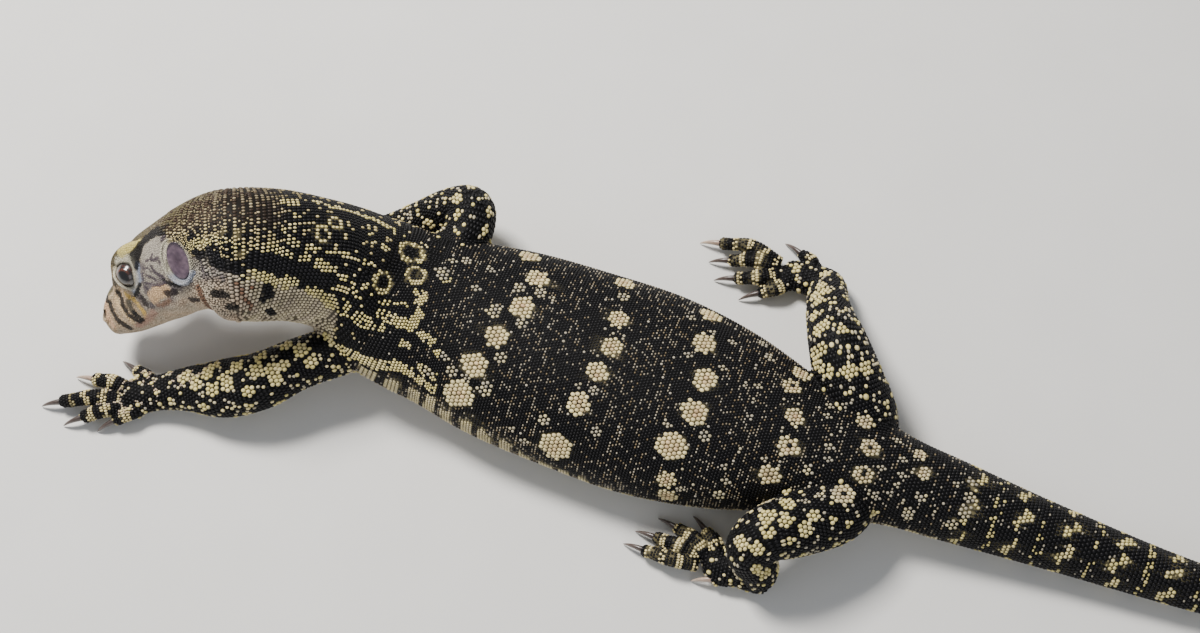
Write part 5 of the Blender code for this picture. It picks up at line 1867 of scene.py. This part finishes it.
def make_eye(side, tag):
    """An eyeball with its bulge, its pupil, a dark rim, and an iris with painted shade below."""
    place = eye_centre(side)
    outward = unit(eye_opening(side) - place)
    axes = head_frame(outward, -HEAD_FORWARD)
    rings, count = 60, 64
    turn = np.linspace(0.015, math.pi - 0.015, rings)[:, None]
    angle = 2 * np.pi * np.arange(count) / count
    radius = (EYE_RADIUS - 0.12) * (1 + 0.035 * (1 - soft_step(turn, 0.55, 0.85)))
    x = np.sin(turn) * np.cos(angle) * radius
    y = np.sin(turn) * np.sin(angle) * radius
    z = np.cos(turn) * radius * np.ones_like(angle)
    item = make_object("eye_" + tag, *grid(set_along(place, axes, x, y, z)))
    face_out(item)
    item.data.shade_smooth()
    spokes = 0.5 + 0.5 * np.sin(angle * 23 + np.sin(angle * 7) * 2)
    pupil = 1 - soft_step(turn, 0.46, 0.52)
    iris = mix(linear(44, 20, 14), linear(104, 50, 30), spokes * np.ones_like(turn))
    # Painted shade: the iris is darker toward its lower side
    upper = soft_step(np.sin(turn) * np.sin(angle) * side, -0.25, 0.45)
    iris = iris * (0.22 + 0.78 * upper)[..., None]
    ring = soft_step(turn, 0.62, 0.72) * (1 - soft_step(turn, 0.78, 0.9))
    edge = soft_step(turn, 0.86, 0.96)
    colour = mix(iris, linear(8, 6, 6), np.broadcast_to(pupil, iris.shape[:2]))
    colour = mix(colour, linear(20, 12, 10), np.broadcast_to(ring, iris.shape[:2]))
    colour = mix(colour, linear(30, 20, 18), np.broadcast_to(edge, iris.shape[:2]))
    set_colours(item.data, colour.reshape(-1, 3))
    return item


def make_eardrum(side, tag):
    """A dished membrane in the ear cup."""
    place = ear_opening(side, -0.8)
    points, faces = blob(place, ear_frame(side), EARDRUM_HALF, 20, 48)
    axes = ear_frame(side)
    local = (points - place) @ axes.T
    dip = 1 - np.clip(np.hypot(local[:, 0] / 2.9, local[:, 1] / 4.9), 0, 1)
    points = points - axes[2] * (0.38 * dip**1.2 * (local[:, 2] > 0))[:, None]
    item = make_object("eardrum_" + tag, points, faces)
    face_out(item)
    item.data.shade_smooth()
    cloud = waves(points, 1.6, 81)
    colour = mix(linear(88, 72, 86), linear(126, 106, 118), cloud)
    # Painted shade: the membrane is darker toward the middle of its dish
    colour = mix(colour, linear(58, 42, 54), dip * 0.8)
    set_colours(item.data, colour)
    return item


def make_claw(limb, index, pale):
    """A claw curved down from the end of a digit, with the name of its solid."""
    _, knuckle, tip = (np.array(place) for place in DIGITS[limb][index])
    ahead = unit((tip - knuckle) * np.array((1.0, 1.0, 0.0)))
    root = tip - ahead * 1.3 + np.array((0.0, 0.0, 0.3))
    middle = tip + ahead * CLAW_LENGTH * 0.50 + np.array((0.0, 0.0, 0.5))
    point = tip + ahead * CLAW_LENGTH * 0.92 - np.array((0.0, 0.0, 2.2))
    side = np.cross(np.array((0.0, 0.0, 1.0)), ahead)
    rings, sides = 26, 16
    rows = []
    turn = 2 * np.pi * np.arange(sides) / sides
    for t in np.linspace(0.0, 0.995, rings):
        centre = root * (1 - t) ** 2 + middle * 2 * t * (1 - t) + point * t**2
        along = unit(2 * (1 - t) * (middle - root) + 2 * t * (point - middle))
        girth = (CLAW_RADIUS * (1 - t) ** 0.8 + 0.10) * 0.96
        rise = np.cross(along, side)
        rows.append(centre + np.outer(np.sin(turn), side) * girth * 0.72
                    + np.outer(np.cos(turn), rise) * girth)
    points = np.array(rows)
    points[..., 2] = np.maximum(points[..., 2], CLAW_FLOOR)
    place = "hand" if limb.startswith("arm") else "foot"
    name = "claw_%s_%s_%d" % (place, limb[-1], index + 1)
    item = make_object("nail" + name[4:], *grid(points))
    face_out(item)
    item.data.shade_smooth()
    share = np.repeat(np.linspace(0, 1, rings), sides)
    root_tint, tip_tint = ((linear(150, 124, 110), linear(196, 176, 156)) if pale
                           else (linear(58, 48, 46), linear(96, 82, 76)))
    colour = mix(root_tint, tip_tint, share)
    shade = 0.85 + 0.3 * waves(points.reshape(-1, 3), 0.8, 91)
    set_colours(item.data, colour * shade[:, None])
    return item, name


# Putting it together


# The solids that the skin stands for
FLESH = ["head", "neck", "torso_front", "torso_rear"]
FLESH += ["tail_%d" % number for number in (1, 2, 3, 4)]
FLESH += [part + side for side in ("_l", "_r") for part in (
    "arm_upper", "arm_lower", "hand", "leg_upper", "leg_lower", "foot")]


def dress(item, material, nodes):
    item.data.materials.clear()
    item.data.materials.append(material)
    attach(item, "root")
    if nodes:
        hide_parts(*nodes)


def dress_skin(skin, ground, material):
    """Paint the skin as the scales over it, darker in the gaps between them."""
    points = ground.points
    place, angle = spine_places(points)
    owner = np.zeros(len(points), int)
    centre, _, _, _, width, *_ = SPINE.at(place)
    best = np.linalg.norm(points - centre, axis=1) / width
    for number, limb in enumerate(LIMBS):
        way = limb_way(limb)
        for start in range(0, len(points), CHUNK):
            part = points[start:start + CHUNK]
            away = np.linalg.norm(part[:, None] - way.table[None, ::4, 0:3], axis=2)
            nearest = away.argmin(1)
            reach = away.min(1) / np.maximum(way.table[::4, 12][nearest], 2.0)
            closer = reach < best[start:start + CHUNK]
            owner[start:start + CHUNK][closer] = 1 + number
            best[start:start + CHUNK][closer] = reach[closer]
    dice = np.full(len(points), BARE_DRAW)
    colour = painted(ground, points, owner, place, angle, dice)
    for spot_place, spot_angle, wide in OCELLI:
        away = np.linalg.norm(points - ground.hit(spot_place, spot_angle), axis=1)
        colour = mix(colour, CREAM * 0.7, 1 - soft_step(away, wide * 0.36, wide * 0.45))
    under = soft_step(-ground.normals[:, 2], 0.35, 0.75)
    limb = owner > 0
    colour[limb] = mix(BLACK, BELLY * 0.6, under[limb])
    head = (owner == 0) & (place < 48.0)
    gap = np.where(head, 0.62 - 0.45 * soft_step(place, 36.0, 46.0), 0.15)
    colour = colour * gap[:, None]
    set_colours(skin.data, colour)
    dress(skin, material, FLESH)


def add_scales(ground, material):
    """Grow the coat, colour it and split it into meshes."""
    scales = coat(ground)
    dice = np.random.default_rng(SEED + 3).random(len(scales["root"]))
    colour = painted(
        ground, scales["root"], scales["owner"], scales["place"], scales["angle"], dice)
    own = scales["tint"][:, 0] >= 0
    colour[own] = scales["tint"][own]
    wobble = np.random.default_rng(SEED + 4).uniform(0.86, 1.12, (len(colour), 1))
    colour = colour * wobble
    # Beads of the neck stand apart, dark scales are flatter, and the flecks of
    # the trunk, pale scales and painted glints, are short and narrow
    bright = colour.mean(1) > 0.10
    upper = ~own & (scales["owner"] == 0) & (np.abs(scales["angle"]) < 92.0)
    neck = bright & upper & (scales["place"] > 38.0) & (scales["place"] < 90.0)
    scales["size"][neck, :2] *= np.where(
        scales["place"][neck] < 62.0, 0.80, 0.92)[:, None]
    low = ~own & (colour.mean(1) < 0.03) & ((scales["place"] > 40.0) | (scales["owner"] > 0))
    scales["size"][low, 2] *= 0.75
    fleck_and_glint = upper & (colour.mean(1) > 0.03) & (colour.mean(1) < 0.40)
    fleck_and_glint &= scales["place"] >= 90.0
    scales["size"][fleck_and_glint] *= (0.60, 0.84, 0.9)
    owner = scales["owner"]
    group = np.where(owner == 0, 0, np.where(owner < 10, owner, 1 + (owner - 10) // 5))
    for number, name in enumerate(("body",) + tuple(LIMBS)):
        rows = np.where(group == number)[0]
        order = rows[np.argsort(scales["place"][rows], kind="stable")]
        parts = max(1, math.ceil(len(rows) / PIECE_SCALES))
        for part, chosen in enumerate(np.array_split(order, parts)):
            here = picked(scales, chosen)
            title = "scales_%s_%d" % (name, part + 1)
            item = scale_piece(title, here, colour[chosen], unwrapped(here))
            dress(item, material, ())


def add_floor():
    mesh = bpy.data.meshes.new("floor")
    half = 3.0
    mesh.from_pydata([(-half, -half, 0), (half, -half, 0), (half, half, 0), (-half, half, 0)],
                     [], [(0, 1, 2, 3)])
    floor = bpy.data.objects.new("floor", mesh)
    bpy.context.scene.collection.objects.link(floor)
    material, nodes, links, shader = node_material("floor_paper")
    value = noise(nodes, links, 40.0)
    blend = nodes.new("ShaderNodeMix")
    blend.data_type = "RGBA"
    blend.inputs[6].default_value = (0.72, 0.71, 0.69, 1)
    blend.inputs[7].default_value = (0.78, 0.77, 0.75, 1)
    links.new(value, blend.inputs[0])
    links.new(blend.outputs[2], shader.inputs["Base Color"])
    shader.inputs["Roughness"].default_value = 0.85
    floor.data.materials.append(material)


def add_light(name, place, target, power, size, colour):
    """A soft area light; places in metres."""
    data = bpy.data.lights.new(name, "AREA")
    data.energy = power
    data.size = size
    data.color = colour
    lamp = bpy.data.objects.new(name, data)
    bpy.context.scene.collection.objects.link(lamp)
    lamp.location = place
    aim = Vector(target) - Vector(place)
    lamp.rotation_euler = aim.to_track_quat("-Z", "Y").to_euler()


def add_camera():
    azimuth = math.radians(CAMERA_AZIMUTH)
    elevation = math.radians(CAMERA_ELEVATION)
    back = Vector((
        math.sin(azimuth) * math.cos(elevation), -math.cos(azimuth) * math.cos(elevation),
        math.sin(elevation)))
    data = bpy.data.cameras.new("camera")
    data.lens = CAMERA_LENS
    data.sensor_width = 36.0
    data.clip_start = 0.01
    camera = bpy.data.objects.new("camera", data)
    bpy.context.scene.collection.objects.link(camera)
    right = Vector((math.cos(azimuth), math.sin(azimuth), 0.0))
    up = back.cross(right)
    turn = Matrix((right, up, back)).transposed().to_4x4()
    place = Vector(CAMERA_TARGET) + back * CAMERA_DISTANCE
    camera.matrix_world = Matrix.Translation(place) @ turn
    bpy.context.scene.camera = camera


def add_world():
    world = bpy.data.worlds.new("soft")
    world.use_nodes = True
    world.node_tree.nodes["Background"].inputs[0].default_value = (0.90, 0.94, 1.0, 1)
    world.node_tree.nodes["Background"].inputs[1].default_value = 0.36
    bpy.context.scene.world = world


def main():
    skin = make_skin()
    ground = Ground(skin)
    hide = tinted("hide", roughness=0.65, coat_weight=0.0, grain=0.3, fine=1800.0,
                  specular=0.15)
    scale = tinted("scale", roughness=0.50, coat_weight=0.04, grain=0.16, fine=2600.0,
                   specular=0.18)
    dress_skin(skin, ground, hide)
    add_scales(ground, scale)
    wet = tinted("cornea", roughness=0.14, coat_weight=1.0, grain=0.12, fine=1500.0,
                 specular=0.6)
    drum = tinted("membrane", roughness=0.18, coat_weight=0.8, grain=0.15, fine=1500.0,
                  specular=0.5)
    horn = tinted("horn", roughness=0.35, coat_weight=0.3, grain=0.2, fine=1400.0,
                  specular=0.5)
    for side, tag in ((1, "l"), (-1, "r")):
        dress(make_eye(side, "ball_" + tag), wet, ["eye_" + tag])
        dress(make_eardrum(side, "skin_" + tag), drum, ["eardrum_" + tag])
    for number, limb in enumerate(LIMBS):
        for index in range(len(DIGITS[limb])):
            item, name = make_claw(limb, index, (number + index) % 5 == 1)
            dress(item, horn, [name])
    add_floor()
    add_camera()
    add_world()
    add_light("key", (-0.52, 0.26, 0.78), (-0.02, 0.0, 0.0),
              power=17.0, size=0.24, colour=(1.0, 0.97, 0.92))
    add_light("fill", (0.6, -0.7, 0.7), (0.0, 0.0, 0.0),
              power=2.4, size=0.8, colour=(0.92, 0.96, 1.0))


main()
